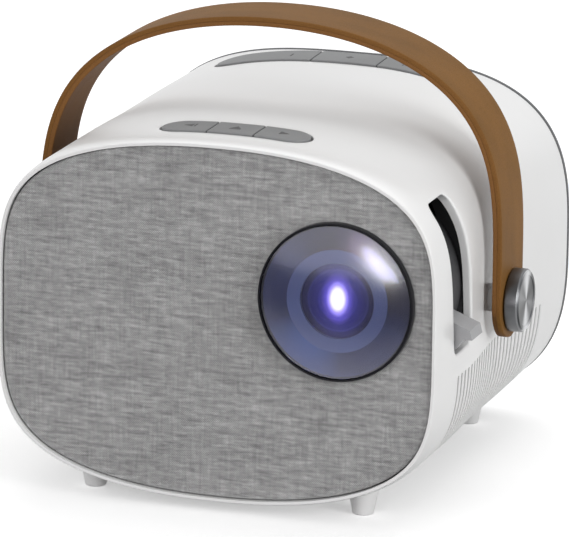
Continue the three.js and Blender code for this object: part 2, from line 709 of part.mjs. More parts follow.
const bladeRadius = engine.fanHalf - engine.fanWall - 2 * fit;

function fanFrame() {
  const frame = framePlate(engine.fanHalf, fanFront, fanBack);
  const bore = rod(engine.fanHalf - engine.fanWall, fanFront - overrun, fanBack + overrun, 'y',
    lensCentre, roundSides);
  const spider = [rod(engine.hubRadius, fanBack - engine.fanWall, fanBack, 'y', lensCentre)];
  spider.push(rod(engine.fanWall, fanFront + 3 * engine.fanWall, fanBack, 'y', lensCentre, fewSides));
  for (let i = 0; i < 4; i++) {
    const arm = box(0, engine.fanHalf, fanBack - engine.fanWall, fanBack,
      -engine.fanWall, engine.fanWall);
    spider.push(solid(arm.rotateY((i + 1 / 2) * quarter).translate(...lensCentre)));
  }
  return joined(cut(frame, bore), ...spider);
}

function fanRotor() {
  const back = fanBack - engine.fanWall - 2 * fit;
  const front = fanFront + fit;
  const hub = turned([
    [engine.fanWall + fit, back], [engine.fanWall + fit, front + engine.fanWall + fit],
    [0, front + engine.fanWall + fit],
    [0, front], [engine.hubRadius, front], [engine.hubRadius, back], [engine.fanWall + fit, back],
  ], 'y', lensCentre);
  const blades = [];
  for (let i = 0; i < bladeCount; i++) {
    const blade = box(-engine.bladeWidth / 2, engine.bladeWidth / 2, -engine.bladeThick / 2,
      engine.bladeThick / 2, engine.hubRadius / 2, bladeRadius);
    blade.rotateZ(engine.bladePitch * degree).rotateY((i / bladeCount) * 4 * quarter);
    blades.push(solid(blade.translate(lensX, (front + back) / 2, lensZ)));
  }
  return joined(hub, ...blades);
}

// Speaker behind the fabric
const speakerCentre = [speakerX, 0, speaker.z];
const speakerFace = baffleBack + fit;

function speakerFrame() {
  const back = speakerFace + speaker.basketDepth;
  const wall = speaker.flangeThick;
  return turned([
    [speaker.basketRadius - wall, speakerFace], [speaker.flangeRadius, speakerFace],
    [speaker.flangeRadius, speakerFace + wall], [speaker.basketRadius, speakerFace + wall],
    [speaker.magnetRadius, back], [speaker.magnetRadius, back + speaker.magnetDepth],
    [0, back + speaker.magnetDepth], [0, back - wall], [speaker.magnetRadius - wall, back - wall],
    [speaker.basketRadius - wall, speakerFace],
  ], 'y', speakerCentre);
}

function speakerCone() {
  const out = speaker.coneRadius - fit;
  const deep = speakerFace + fit + speaker.coneDepth;
  return turned([
    [0, deep], [out / 3, deep], [out, speakerFace + fit], [out, speakerFace + fit + speaker.coneThick],
    [out / 3, deep + speaker.coneThick], [0, deep + speaker.coneThick],
  ], 'y', speakerCentre);
}

// Rear cover, its trim and the sockets
const coverEdgeShares = [[0, 0], [0.45, 0.05], [0.8, 0.22], [0.96, 0.52], [1, 1]];

function rearRing(y, inset) {
  return bowRing(y, rearHalfWidth - inset, rearHalfHeight - inset, body.rearBow, body.rearBow);
}

function rearTrim() {
  const inner = body.wall + fit;
  return lofted([
    rearRing(trimFront, -rear.trimStand), rearRing(trimFront + rear.trimThick, -rear.trimStand),
    rearRing(trimFront + rear.trimThick, inner - fit), rearRing(trimFront, inner - fit),
  ], true);
}

const rearPorts = [
  ['hdmi', hdmiX, portZ, sockets.hdmiWidth, sockets.hdmiHeight],
  ['usb', usbX, portZ, sockets.usbWidth, sockets.usbHeight],
];

function rearCover() {
  const inner = body.wall + 2 * fit;
  const inside = rearFace - rear.plate;
  const rings = [
    rearRing(inside, inner + rear.skirtThick), rearRing(skirtFront, inner + rear.skirtThick),
    rearRing(skirtFront, inner), rearRing(coverFront, inner),
  ];
  for (const [depthShare, insetShare] of coverEdgeShares) {
    rings.push(rearRing(mixed(coverFront, rearFace, depthShare),
      mixed(rear.edgeInset, rear.faceInset, insetShare)));
  }
  const cuts = [];
  for (const [, x, z, width, height] of rearPorts) {
    cuts.push(block(x - width / 2 - fit, x + width / 2 + fit, inside - overrun, rearFace + overrun,
      z - height / 2 - fit, z + height / 2 + fit));
  }
  cuts.push(rod(sockets.jackRadius + fit, inside - overrun, rearFace + overrun, 'y',
    [jackX, 0, portZ]));
  cuts.push(rod(sockets.dcRadius + fit, inside - overrun, rearFace + overrun, 'y',
    [dcX, 0, portZ]));
  cuts.push(rod(sockets.eyeRadius + fit, inside - overrun, rearFace + overrun, 'y',
    [sockets.eyeX, 0, sockets.eyeZ]));
  const first = -((rearVentCount - 1) * rearVents.pitch) / 2;
  for (let i = 0; i < rearVentCount; i++) {
    const z = lensZ + first + i * rearVents.pitch;
    cuts.push(block(lensX - rearVents.halfWidth, lensX + rearVents.halfWidth, inside - overrun,
      rearFace + overrun, z - rearVents.slot / 2, z + rearVents.slot / 2));
  }
  for (const [x, z] of screwPlaces) {
    cuts.push(rod(screws.shankRadius + fit, coverFront - overrun, rearFace + overrun, 'y',
      [x, 0, z], fewSides));
    cuts.push(rod(screws.headRadius + fit, rearFace - screws.headThick - fit, rearFace + overrun, 'y',
      [x, 0, z], smallSides));
  }
  return cut(lofted(rings), ...cuts);
}

function coverScrew() {
  const head = rearFace - screws.headThick;
  return turned([
    [0, head + screws.headThick - fit], [screws.headRadius, head + screws.headThick - fit],
    [screws.headRadius, head], [screws.shankRadius, head],
    [screws.shankRadius, head - screws.length], [0, head - screws.length],
  ], 'y', [0, 0, 0], fewSides);
}

function sheetSocket([, x, z, width, height]) {
  const back = rearFace - fit;
  const front = back - sockets.depth;
  const can = block(x - width / 2, x + width / 2, front, back, z - height / 2, z + height / 2);
  const mouth = block(x - width / 2 + sockets.sheet, x + width / 2 - sockets.sheet,
    front + sockets.sheet, back + overrun, z - height / 2 + sockets.sheet, z + height / 2 - sockets.sheet);
  const tongue = block(x - width / 3, x + width / 3, front, back - overrun,
    z + height / 2 - 3 * sockets.sheet, z + height / 2 - sockets.sheet / 2);
  const foot = block(x - width / 2, x + width / 2, front, boardRear, boardFace + fit, z);
  return joined(can, foot).subtract(mouth).add(tongue);
}

function roundSocket(x, z, radius, bore) {
  const back = rearFace - fit;
  const shape = rod(radius, back - sockets.depth, back, 'y', [x, 0, z]);
  const hole = rod(bore, back - sockets.depth + overrun, back + overrun, 'y', [x, 0, z]);
  const stand = block(x - radius, x + radius, back - sockets.depth, boardRear, boardFace + fit, z);
  return joined(shape, stand).subtract(hole);
}

function mainBoard() {
  const plate = block(-boardHalf, boardHalf, boardFront, boardRear, boardFace - board.thick, boardFace);
  return plate.intersect(innerEnvelope.add(block(-boardHalf, boardHalf, rearRim - overrun,
    rearFace, -panel.halfHeight, panel.halfHeight)));
}

// Key strips: each key follows the skin, with a flange under the wall and a stem to its switch
function keyShape(strip, index) {
  const high = panel.halfHeight + body.wall + overrun;
  const far = strip.halfLength * 2;
  const deep = strip.halfDepth * 4;
  const gap = keys.gap / 2;
  const [left, right] = [
    [-far, -strip.split - gap], [-strip.split + gap, strip.split - gap], [strip.split + gap, far],
  ][index];
  const bound = block(left, right, strip.y - deep, strip.y + deep, 0, high);
  const cap = keyColumn(strip, -fit, 0, high).intersect(envelope(keys.proud));
  const flange = keyColumn(strip, keys.flange, 0, high)
    .intersect(envelope(-body.wall - fit - keys.travel))
    .intersect(block(-far, far, panel.face, skirtFront - fit, 0, high));
  const under = envelope(-body.wall - fit - keys.travel - keys.flangeThick);
  const foot = keyStemFoot(strip);
  const stem = rod(keys.stemRadius, foot, foot + keys.stemDrop, 'z',
    [keyPlace(strip, index), strip.y, 0], fewSides);
  return cap.add(flange).intersect(bound).subtract(under).add(stem.intersect(envelope(-body.wall)));
}

const keyPlace = (strip, index) => strip.place * (index - 1);
const keyStemFoot = (strip) => skin(strip.y)[1] - body.wall - keys.stemDrop;

function keyBoard(strip) {
  const switchTop = keyStemFoot(strip) - keys.travel - fit;
  const boardTop = switchTop - keys.switchTall - keys.plungerTall;
  const half = strip.place + keys.switchHalf + keys.boardMargin + 2 * keys.pillarRadius;
  const depth = keys.switchHalf + keys.boardMargin;
  const parts = [block(-half, half, strip.y - depth, strip.y + depth, boardTop - keys.boardThick, boardTop)];
  for (let i = 0; i < 3; i++) {
    const x = keyPlace(strip, i);
    parts.push(block(x - keys.switchHalf, x + keys.switchHalf, strip.y - keys.switchHalf,
      strip.y + keys.switchHalf, boardTop - keys.boardThick / 2, boardTop + keys.switchTall));
    parts.push(rod(keys.plungerRadius, boardTop, switchTop, 'z', [x, strip.y, 0], 10));
  }
  for (const x of [-half + keys.pillarRadius, half - keys.pillarRadius]) {
    const pillar = rod(keys.pillarRadius, boardTop - keys.boardThick / 2, panel.halfHeight, 'z',
      [x, strip.y, 0], 10);
    parts.push(pillar.intersect(envelope(-body.wall - 2 * fit - 2 * keys.travel - keys.flangeThick)));
  }
  return joined(...parts);
}

// Feet, tripod bush
function foot(x, y) {
  const foot0 = -axisHeight;
  const cone = turned([
    [0, foot0], [feet.bottomRadius, foot0], [feet.topRadius, foot0 + feet.tall],
    [feet.topRadius, foot0 + feet.tall + overrun], [0, foot0 + feet.tall + overrun],
  ], 'z', [x, y, 0], smallSides);
  const spigot = rod(feet.spigotRadius, foot0 + feet.tall / 2, foot0 + feet.tall + feet.spigotTall, 'z',
    [x, y, 0], fewSides);
  return cone.subtract(envelope(fit)).add(spigot);
}

function bush() {
  return tube(tripod.bore, tripod.radius, bossFace, bossFace + tripod.tall, 'z');
}

// Strap: two layers of leather bent over the body and turning on the pivot screws
function strapPath() {
  const steps = fewSides;
  const half = [];
  for (let i = 0; i <= steps; i++) {
    const t = (i / steps) * quarter;
    const x = strapHalfWidth * Math.cos(t) ** (2 / strap.sideBow);
    const z = strap.straight + (strapTop - strap.straight) * Math.sin(t) ** (2 / strap.topBow);
    half.push([x, z]);
  }
  const right = [[strapHalfWidth, 0], [strapHalfWidth, strap.straight / 2], ...half];
  const left = right.slice(0, -1).reverse().map(([x, z]) => [-x, z]);
  return [...right, ...left];
}

function strapLayer(from, to) {
  const path = strapPath();
  const rings = path.map(([x, z], i) => {
    const [ax, az] = path[Math.max(i - 1, 0)];
    const [bx, bz] = path[Math.min(i + 1, path.length - 1)];
    const ends = i === 0 || i === path.length - 1;
    const length = Math.hypot(bx - ax, bz - az);
    const [nx, nz] = ends ? [Math.sign(x), 0] : [(bz - az) / length, (ax - bx) / length];
    const at = (depth, y) => new THREE.Vector3(x - nx * depth, y, z - nz * depth);
    return [at(from, -strap.width / 2), at(from, strap.width / 2), at(to, strap.width / 2),
      at(to, -strap.width / 2)];
  });
  let layer = lofted(rings);
  for (const hand of [-1, 1]) {
    const near = (strapHalfWidth - from) * hand;
    const far = (strapHalfWidth - to) * hand;
    layer = layer.add(rod(strap.width / 2, Math.min(near, far), Math.max(near, far), 'x', [0, 0, 0],
      roundSides));
  }
  return layer.subtract(rod(pivot.shankRadius + fit, -strapHalfWidth - overrun,
    strapHalfWidth + overrun, 'x'));
}

const strapThick = 2 * strap.layer + strap.glue;
const strapInner = strapHalfWidth - strapThick;

function pivotScrew() {
  return turned([
    [0, shankEnd], [pivot.shankRadius, shankEnd], [pivot.shankRadius, headBack],
    [pivot.headRadius - pivot.bevel / 2, headBack], [pivot.headRadius, headBack + pivot.bevel / 2],
    [pivot.headRadius, headFace - pivot.bevel], [pivot.headRadius - pivot.bevel, headFace], [0, headFace],
  ], 'x');
}

function pivotBush(hand) {
  const whole = tube(pivot.shankRadius + fit, pivot.bushRadius, hand * shankEnd,
    hand * (strapInner - fit), 'x', [0, strapY, 0], smallSides);
  return whole.subtract(envelope(fit));
}

// The assembly
const projector = new THREE.Group();
projector.name = 'mini_projector';
const core = new THREE.Group();
core.position.z = axisHeight;
projector.add(core);

const housing = new THREE.Group();
housing.add(
  piece('main_shell', mainShell(), materials.white),
  piece('front_baffle', baffle(), materials.black),
  piece('front_fabric', cloth(), materials.cloth),
  piece('rear_trim', rearTrim(), materials.seam),
  piece('rear_cover', rearCover(), materials.white),
  piece('tripod_bush', bush(), materials.brass),
);
for (const [hand, x] of [['left', -footX], ['right', footX]]) {
  for (const [end, y] of footEnds) {
    housing.add(piece(`foot_${end}_${hand}`, foot(x, y), materials.white));
  }
}
screwPlaces.forEach(([x, z], i) => {
  housing.add(piece(`cover_screw_${i + 1}`, coverScrew(), materials.metal, [x, 0, z]));
});
core.add(housing);

const optics = new THREE.Group();
optics.add(
  piece('lens_rim', lensRim(), materials.black),
  piece('front_glass', frontGlass(), materials.glass),
  piece('pupil_glass', pupilGlass(), materials.glass),
  piece('lens_holder', lensHolder(), materials.black),
  piece('focus_ring', focusRing(), materials.black),
  piece('focus_lever', lever(), materials.grey),
  piece('lens_barrel', barrel(), materials.black),
  piece('barrel_front_lens', barrelGlass(true), materials.glass),
  piece('barrel_rear_lens', barrelGlass(false), materials.glass),
  piece('follower_pin', followerPin(), materials.metal),
  piece('optics_tray', opticsTray(), materials.black),
  piece('optics_lid', opticsLid(), materials.black),
  piece('fresnel_front', plate(fresnelFront, engine.fresnelThick), materials.glass),
  piece('lcd_panel', plate(lcdFront, engine.lcdThick), materials.glass),
  piece('fresnel_rear', plate(fresnelBack, engine.fresnelThick), materials.glass),
  piece('heat_glass', plate(heatGlassFront, engine.heatGlassThick), materials.glass),
  piece('reflector_cup', reflectorCup(), materials.metal),
  piece('led_board', framePlate(engineHalf - fit, ledBoardFront, ledBoardFront + engine.boardThick),
    materials.metal),
  piece('led_chip', framePlate(engine.ledHalf, ledBoardFront - fit - engine.ledThick,
    ledBoardFront - fit), materials.led),
  piece('heat_sink', heatSink(), materials.metal),
  piece('fan_frame', fanFrame(), materials.black),
  piece('fan_rotor', fanRotor(), materials.black),
);
optics.add(piece('condenser_lens', lensElement(engine.condenserRadius, condenserFront,
  condenserFront + engine.condenserEdge, 0, engine.condenserBulge - fit), materials.glass));
core.add(optics);

const electronics = new THREE.Group();
electronics.add(
  piece('speaker_frame', speakerFrame(), materials.metal),
  piece('speaker_cone', speakerCone(), materials.cone),
  piece('main_board', mainBoard(), materials.board),
  piece('hdmi_socket', sheetSocket(rearPorts[0]), materials.metal),
  piece('usb_socket', sheetSocket(rearPorts[1]), materials.metal),
  piece('audio_socket', roundSocket(jackX, portZ, sockets.jackRadius,
    sockets.jackBore), materials.black),
  piece('power_socket', roundSocket(dcX, portZ, sockets.dcRadius, sockets.dcBore),
    materials.black),
  piece('remote_eye', rod(sockets.eyeRadius, rearFace - sockets.eyeDepth, rearFace - fit, 'y',
    [sockets.eyeX, 0, sockets.eyeZ]), materials.glass),
  piece('front_key_board', keyBoard(frontKeys), materials.board),
  piece('rear_key_board', keyBoard(rearKeys), materials.board),
);
['left', 'middle', 'right'].forEach((place, i) => {
  electronics.add(
    piece(`front_key_${place}`, keyShape(frontKeys, i), materials.grey),
    piece(`rear_key_${place}`, keyShape(rearKeys, i), materials.grey),
  );
});
core.add(electronics);

const carrier = new THREE.Group();
carrier.position.y = strapY;
carrier.add(
  piece('strap_outer', strapLayer(0, strap.layer), materials.leather),
  piece('strap_inner', strapLayer(strap.layer + strap.glue, strapThick), materials.leatherInner),
);
core.add(carrier);
for (const [name, hand] of [['right', 1], ['left', -1]]) {
  const screw = piece(`pivot_screw_${name}`, pivotScrew(), materials.metal, [0, strapY, 0]);
  if (hand < 0) screw.rotation.z = 2 * quarter;
  core.add(screw, piece(`pivot_bush_${name}`, pivotBush(hand), materials.white));
}

export default projector;
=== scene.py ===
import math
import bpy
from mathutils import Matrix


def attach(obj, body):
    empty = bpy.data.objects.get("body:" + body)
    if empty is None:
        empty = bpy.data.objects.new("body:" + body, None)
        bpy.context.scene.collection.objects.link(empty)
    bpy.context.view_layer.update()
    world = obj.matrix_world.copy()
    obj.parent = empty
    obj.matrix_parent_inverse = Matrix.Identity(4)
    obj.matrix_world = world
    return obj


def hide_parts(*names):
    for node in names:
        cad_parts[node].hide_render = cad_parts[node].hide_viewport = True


bl_info = {
    "name": "Mini Projector",
    "version": (1, 0, 0),
    "blender": (4, 5, 0),
    "location": "3D View > Sidebar > Projector",
    "description": "Builds the visible pieces of a mini projector around its fixed frame",
    "category": "Object",
}

import bmesh
import bpy
import numpy as np
from mathutils import Matrix, Vector

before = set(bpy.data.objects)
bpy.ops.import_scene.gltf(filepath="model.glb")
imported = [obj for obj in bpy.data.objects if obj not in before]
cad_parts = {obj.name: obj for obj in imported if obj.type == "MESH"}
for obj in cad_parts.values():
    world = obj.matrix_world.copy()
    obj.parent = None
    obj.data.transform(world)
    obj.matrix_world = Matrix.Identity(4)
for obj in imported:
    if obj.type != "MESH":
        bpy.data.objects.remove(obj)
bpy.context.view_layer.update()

# Sizes are in millimetres about the body's own middle, as in the CAD source.
MM = 0.001
AXIS_HEIGHT = 51.5
FIT = 0.3

PANEL_W, PANEL_H, FACE = 60, 47.5, -60
PANEL_BOWS = (2.21, 4.22)
THREAD_PITCH = 0.00062
CLOTH_THICK, BAFFLE_THICK = 0.8, 2
WALL, LIP_RUN, LIP_RISE = 2.2, 1, 1
SHOULDER_RUN, SHOULDER_RISE = 8, 1.9
WAIST_START, WAIST_END = -34, 3
WAIST_W, WAIST_H, WAIST_BOWS = 59.4, 47, (3.2, 4.4)
REAR_RIM, REAR_W, REAR_H, REAR_BOW = 59.6, 62, 48.3, 3.1
RIM_ROUND, LEDGE, LEDGE_THICK = 0.7, 2.6, 2.2
TRIM_THICK, TRIM_STAND = 0.9, 0.15
REAR_FACE, SKIRT, SKIRT_THICK, PLATE = 65, 2.4, 2.6, 2.2
EDGE_INSET, FACE_INSET = 0.5, 7
LENS_X, LENS_Z = 33.9, 9.5

SLOT_FRONT, SLOT_REAR, SLOT_FOOT, SLOT_TOP, SLOT_LEAN = -45.5, -30, -6.6, 34.8, 5
VENT_COUNT, VENT_PITCH, VENT_SLOT, VENT_FRONT, VENT_TOP, VENT_INNER_X = 26, 3.15, 1.4, -42, -13, 53
REAR_VENT_COUNT, REAR_VENT_PITCH, REAR_VENT_SLOT, REAR_VENT_HALF = 9, 3.4, 1.5, 16
FRONT_KEYS = {"y": -44.6, "half_length": 20.9, "half_depth": 6, "bend": 0, "split": 6.5, "place": 13.2}
REAR_KEYS = {"y": 52.3, "half_length": 36.5, "half_depth": 6, "bend": 7.6, "split": 9.6, "place": 18}
KEY_GAP, KEY_PROUD, KEY_FLANGE, KEY_FLANGE_TOP, KEY_UNDER, KEY_STEM = 0.3, 0.35, 0.8, 2.9, 3.7, 1.6
FOOT_X, FOOT_FRONT, FOOT_REAR = 37.9, -47.7, 47.3
STRAP_Y, STRAP_HALF, STRAP_TOP, STRAP_STRAIGHT, STRAP_WIDTH = -7.1, 65.8, 73.9, 7.9, 20.6
STRAP_THICK, STRAP_JOINT, STRAP_BOWS = 2.5, 1.25, (2.08, 3.38)
HEAD_RADIUS, HEAD_BACK, HEAD_FACE, HEAD_BEVEL, SHANK_RADIUS, BUSH_RADIUS = 8.6, 66.1, 70.1, 0.7, 2.5, 3.8
SHANK_END = 54.5
SCREW_X, SCREW_Z, SCREW_HEAD, SCREW_LENGTH = 44, 31, 2.6, 10
PORT_Z, HDMI_X, USB_X, JACK_X, DC_X, EYE_Z = -31, -20.8, -1.8, 13.1, 24.6, 20
HDMI_SIZE, USB_SIZE, JACK_RADIUS, DC_RADIUS, EYE_RADIUS = (15.4, 6), (14.6, 7.4), 3.6, 3.9, 3.4
RIM_RADIUS, RIM_FRONT, GLASS_RADIUS, GLASS_BACK, GLASS_EDGE, DOME = 21.4, -62.6, 20.6, -61.4, -62.2, -65
NECK_RADIUS, NECK_INNER, NECK_BACK = 19.4, 17.9, -53.8
BEZEL_HOLE, BEZEL_STEP, BEZEL_FRONT, BEZEL_BACK = 9.9, 13.6, -59.9, -58.7
PUPIL_RADIUS, PUPIL_FRONT, PUPIL_THICK, PUPIL_BULGE = 11.2, -58.4, 1.6, 1.1

SLOT_CORNER, TRIPOD_RADIUS, FOOT_HOLE = 2.6, 6, 2.2
FOOT_RADII, FOOT_LEVELS = (2.85, 4.35, 1.9), (7.5, 9.5, 15.5)
DISH_OUTER, DISH_INNER, DISH_DEPTH = 6.9, 6.7, 0.2
STEM_SHOULDER, STEM_END = 3.5, 3.6
SCREW_SEAT, SCREW_WELL, WELL_DEPTH = 1.4, 2.9, 1.7
SHADE_RADII, SHADE_TURN = (24.2, 25), (-74, 96)
SIDES = 256

# The photograph's frame in pixels, and the camera fitted to it in degrees and metres
PHOTO_W, PHOTO_H, SENSOR = 569, 537, 36
VIEW_TURN, VIEW_HEIGHT, VIEW_ROLL, VIEW_AWAY = 18.41, 14.54, 0.73, 1.8
VIEW_FOCAL, VIEW_CENTRE = 6603.5, (287.782, 270.531)


# Shader sums
class Reading:
    """A socket of a finish. Sums on readings add Math nodes."""

    def __init__(self, tree, socket):
        self.tree = tree
        self.socket = socket

    def _sum(self, operation, first, second):
        node = self.tree.nodes.new("ShaderNodeMath")
        node.operation = operation
        feed(self.tree, node.inputs[0], first)
        feed(self.tree, node.inputs[1], second)
        return Reading(self.tree, node.outputs[0])

    def __add__(self, other):
        return self._sum("ADD", self, other)

    def __radd__(self, other):
        return self._sum("ADD", other, self)

    def __sub__(self, other):
        return self._sum("SUBTRACT", self, other)

    def __rsub__(self, other):
        return self._sum("SUBTRACT", other, self)

    def __mul__(self, other):
        return self._sum("MULTIPLY", self, other)

    def __rmul__(self, other):
        return self._sum("MULTIPLY", other, self)

    def __truediv__(self, other):
        return self._sum("DIVIDE", self, other)

    def __pow__(self, other):
        return self._sum("POWER", self, other)

    def __gt__(self, other):
        return self._sum("GREATER_THAN", self, other)

    def __lt__(self, other):
        return self._sum("LESS_THAN", self, other)

    def __abs__(self):
        return self._sum("ABSOLUTE", self, 0)

    def at_most(self, limit):
        return self._sum("MINIMUM", self, limit)

    def at_least(self, limit):
        return self._sum("MAXIMUM", self, limit)


def feed(tree, place, value):
    if isinstance(value, Reading):
        tree.links.new(value.socket, place)
    else:
        place.default_value = value


def rays(tree, *kinds):
    """Readings that are 1 for a ray of each kind named."""
    path = tree.nodes.new("ShaderNodeLightPath")
    return [Reading(tree, path.outputs[f"Is {kind} Ray"]) for kind in kinds]


def linear(colour):
    """An sRGB colour, 0 to 255, as a linear one with alpha."""
    shares = [c / 255 for c in colour]
    return tuple(s / 12.92 if s <= 0.04045 else ((s + 0.055) / 1.055) ** 2.4 for s in shares) + (1,)


class Finish:
    """A material under construction, with one Principled shader."""

    def __init__(self, name):
        self.material = bpy.data.materials.new(name)
        self.material.use_nodes = True
        self.tree = self.material.node_tree
        self.shader = self.tree.nodes["Principled BSDF"]

    def node(self, kind, settings=None, inputs=None, output=0):
        made = self.tree.nodes.new("ShaderNode" + kind)
        for key, value in (settings or {}).items():
            if key == "stops":
                ramp = made.color_ramp
                while len(ramp.elements) < len(value):
                    ramp.elements.new(0.5)
                for element, (place, colour) in zip(ramp.elements, value):
                    element.position = place
                    element.color = colour
            else:
                setattr(made, key, value)
        for key, value in (inputs or {}).items():
            feed(self.tree, made.inputs[key], value)
        return Reading(self.tree, made.outputs[output])

    def place(self):
        return self.node("TexCoord", output="Object")

    def parts(self, vector):
        return [self.node("SeparateXYZ", inputs={0: vector}, output=i) for i in range(3)]

    def vector(self, x, y, z):
        return self.node("CombineXYZ", inputs={0: x, 1: y, 2: z})

    def stretched(self, x, y, z):
        """Object coordinates times a scale along each axis."""
        return self.node("VectorMath", {"operation": "MULTIPLY"}, {0: self.place(), 1: (x, y, z)})

    def noise(self, vector, scale=1, detail=3, roughness=0.5, distortion=0):
        return self.node("TexNoise", inputs={
            "Vector": vector, "Scale": scale, "Detail": detail, "Roughness": roughness,
            "Distortion": distortion,
        })

    def ramp(self, factor, *stops):
        return self.node("ValToRGB", {"stops": stops}, {0: factor})

    def clear(self, value, low, high):
        """The value's place between low and high, kept within 0 and 1."""
        return self.node("MapRange", {"clamp": True}, {0: value, 1: low, 2: high, 3: 0, 4: 1})

    def blend(self, factor, first, second, mode="MIX"):
        return self.node("Mix", {"data_type": "RGBA", "blend_type": mode},
                         {0: factor, 6: first, 7: second}, output=2)

    def bump(self, height, strength, distance, under=None):
        inputs = {"Strength": strength, "Distance": distance, "Height": height}
        if under is not None:
            inputs["Normal"] = under
        return self.node("Bump", inputs=inputs)

    def done(self, **sockets):
        for key, value in sockets.items():
            feed(self.tree, self.shader.inputs[key.replace("_", " ")], value)
        return self.material


finishes = {}


def finish(maker):
    """The material that a maker function builds, built once."""
    if maker.__name__ not in finishes:
        finishes[maker.__name__] = maker()
    return finishes[maker.__name__]


def speckled(name, grain, dark, light, rough, swing=0, cloud=None, stretch=None, bump=None, **sockets):
    """A finish of two close tones. A fine noise picks between them, or a broad one if cloud is given."""
    f = Finish(name)
    speck = f.noise(f.stretched(*stretch) if stretch else f.place(), *grain)
    tone = f.noise(f.place(), *cloud) if cloud else speck
    colour = f.ramp(tone, (0.3, linear(dark)), (0.7, linear(light)))
    if bump:
        sockets["Normal"] = f.bump(speck, *bump)
    return f.done(Base_Color=colour, Roughness=rough + swing * speck if swing else rough, **sockets)


def shell_white():
    f = Finish("satin white moulding")
    colour = linear(bpy.context.scene.projector.shell_tone)
    cloud = f.noise(f.place(), 28, 3)
    grain = f.noise(f.place(), 1300, 2)
    warm = tuple(c * k for c, k in zip(colour, (0.985, 0.982, 0.975))) + (1,)
    return f.done(
        Base_Color=f.blend(f.clear(cloud, 0.35, 0.7), colour, warm),
        Roughness=0.3 + 0.06 * f.clear(grain, 0.3, 0.7), Coat_Weight=0.2,
        Coat_Roughness=0.18, Specular_IOR_Level=0.5,
        Normal=f.bump(grain, 0.03, 0.00002),
    )


# Painted shade: a grey for the inside of the shell, darker than the white moulding, so that the inside
# seen through the slot and vents reads as shade
def shell_inside_painted_shade():
    return speckled("grey paint inside the shell", (400, 3), (70, 70, 72), (84, 84, 86), 0.75,
                    bump=(0.1, 0.0001))


def linen():
    f = Finish("mottled grey linen")
    slub = f.noise(f.stretched(115, 115, 980), 1, 3, 0.6)
    strand = f.noise(f.stretched(460, 460, 1500), 1, 2, 0.6)
    upright = f.noise(f.stretched(1700, 420, 130), 1, 2, 0.6)
    patch = f.noise(f.stretched(60, 60, 110), 1, 2)
    tone = 0.42 * slub + 0.28 * strand + 0.20 * upright + 0.1 * patch
    tones = (132, 159, 172, 205)
    places = (0.36, 0.46, 0.52, 0.66)
    colour = f.ramp(tone, *[(at, linear((t, t, t))) for at, t in zip(places, tones)])
    x, y, z = f.parts(f.place())
    pick = f.node("Math", {"operation": "SINE"}, {0: z * (math.tau / THREAD_PITCH)})
    end = f.node("Math", {"operation": "SINE"}, {0: x * (math.tau / THREAD_PITCH)})
    weave = 0.5 + 0.5 * pick * end
    shadow = f.ramp(weave, (0.1, (0.5, 0.5, 0.5, 1)), (0.7, (1, 1, 1, 1)))
    return f.done(
        Base_Color=f.blend(0.3, colour, shadow, "MULTIPLY"),
        Roughness=0.93, Specular_IOR_Level=0.15, Sheen_Weight=0.2, Sheen_Roughness=0.5,
        Normal=f.bump(weave, 0.5, 0.00025, f.bump(tone, 0.4, 0.0004)),
    )


def leather(name, tone, edge):
    """Smooth hide: cloudy colour, fine grain, and a burnished band along both edges."""
    f = Finish(name)
    tones = [tuple(min(c * k, 255) for c in tone) for k in (0.93, 1, 1.06)]
    cloud = f.noise(f.stretched(38, 90, 38), 1, 4, 0.55)
    pores = f.node("TexVoronoi", {"feature": "DISTANCE_TO_EDGE"}, {"Vector": f.place(), "Scale": 1300})
    fine = f.noise(f.place(), 2600, 3)
    colour = f.ramp(cloud, *[(at, linear(t)) for at, t in zip((0.3, 0.5, 0.72), tones)])
    # Across the strap at rest, 0 on its middle line and 1 at its edge
    across = f.node("Attribute", {"attribute_name": "across"}, output="Fac")
    rim = f.clear(abs(across), 0.955, 0.99)
    colour = f.blend(rim * 0.8, colour, linear(edge))
    creases = f.clear(pores, 0.0, 0.12)
    return f.done(
        Base_Color=f.blend(0.22 * (1 - creases), colour, (0.4, 0.34, 0.3, 1), "MULTIPLY"),
        Roughness=0.52 + 0.14 * fine, Specular_IOR_Level=0.12,
        Normal=f.bump(creases, 0.18, 0.0001, f.bump(fine, 0.12, 0.0001)),
    )


def tan_leather():
    return leather("tan strap leather", bpy.context.scene.projector.strap_tone, (124, 84, 42))


def brown_leather():
    return leather("brown strap lining", bpy.context.scene.projector.lining_tone, (134, 92, 50))


def key_grey():
    return speckled("satin grey moulding", (1500, 2), (126, 127, 128), (134, 135, 136), 0.45, 0.1,
                    cloud=(60, 3), bump=(0.08, 0.00004), Specular_IOR_Level=0.35)


def lever_grey():
    return speckled("light grey moulding", (1500, 2), (158, 158, 160), (168, 168, 170), 0.4, 0.1,
                    cloud=(60, 3), bump=(0.08, 0.00004))


# Painted shade: the dark grey of the band and plate that stand for the shade inside the focus slot
def painted_shade_grey():
    return speckled("dark grey light shade", (700, 2), (48, 48, 50), (54, 54, 56), 0.7,
                    bump=(0.05, 0.00004))


def key_mark():
    return speckled("dark printed mark", (1800, 2), (70, 70, 71), (84, 84, 85), 0.6)


def seam_grey():
    return speckled("grey edge band", (1200, 2), (104, 105, 107), (118, 119, 121), 0.5,
                    bump=(0.1, 0.00005))


def black_moulding():
    return speckled("satin black moulding", (1400, 3), (52, 52, 54), (62, 62, 65), 0.45, 0.2,
                    cloud=(70, 3), bump=(0.1, 0.00005))


def socket_black():
    return speckled("black socket moulding", (1400, 3), (20, 20, 22), (29, 29, 31), 0.4, 0.2,
                    bump=(0.12, 0.00005))


def from_lens_axis(f):
    """Distance from the lens axis, and the offsets to the right and up, in metres."""
    x, y, z = f.parts(f.place())
    right, up = x - LENS_X * MM, z - (AXIS_HEIGHT + LENS_Z) * MM
    return (right * right + up * up) ** 0.5, right, up


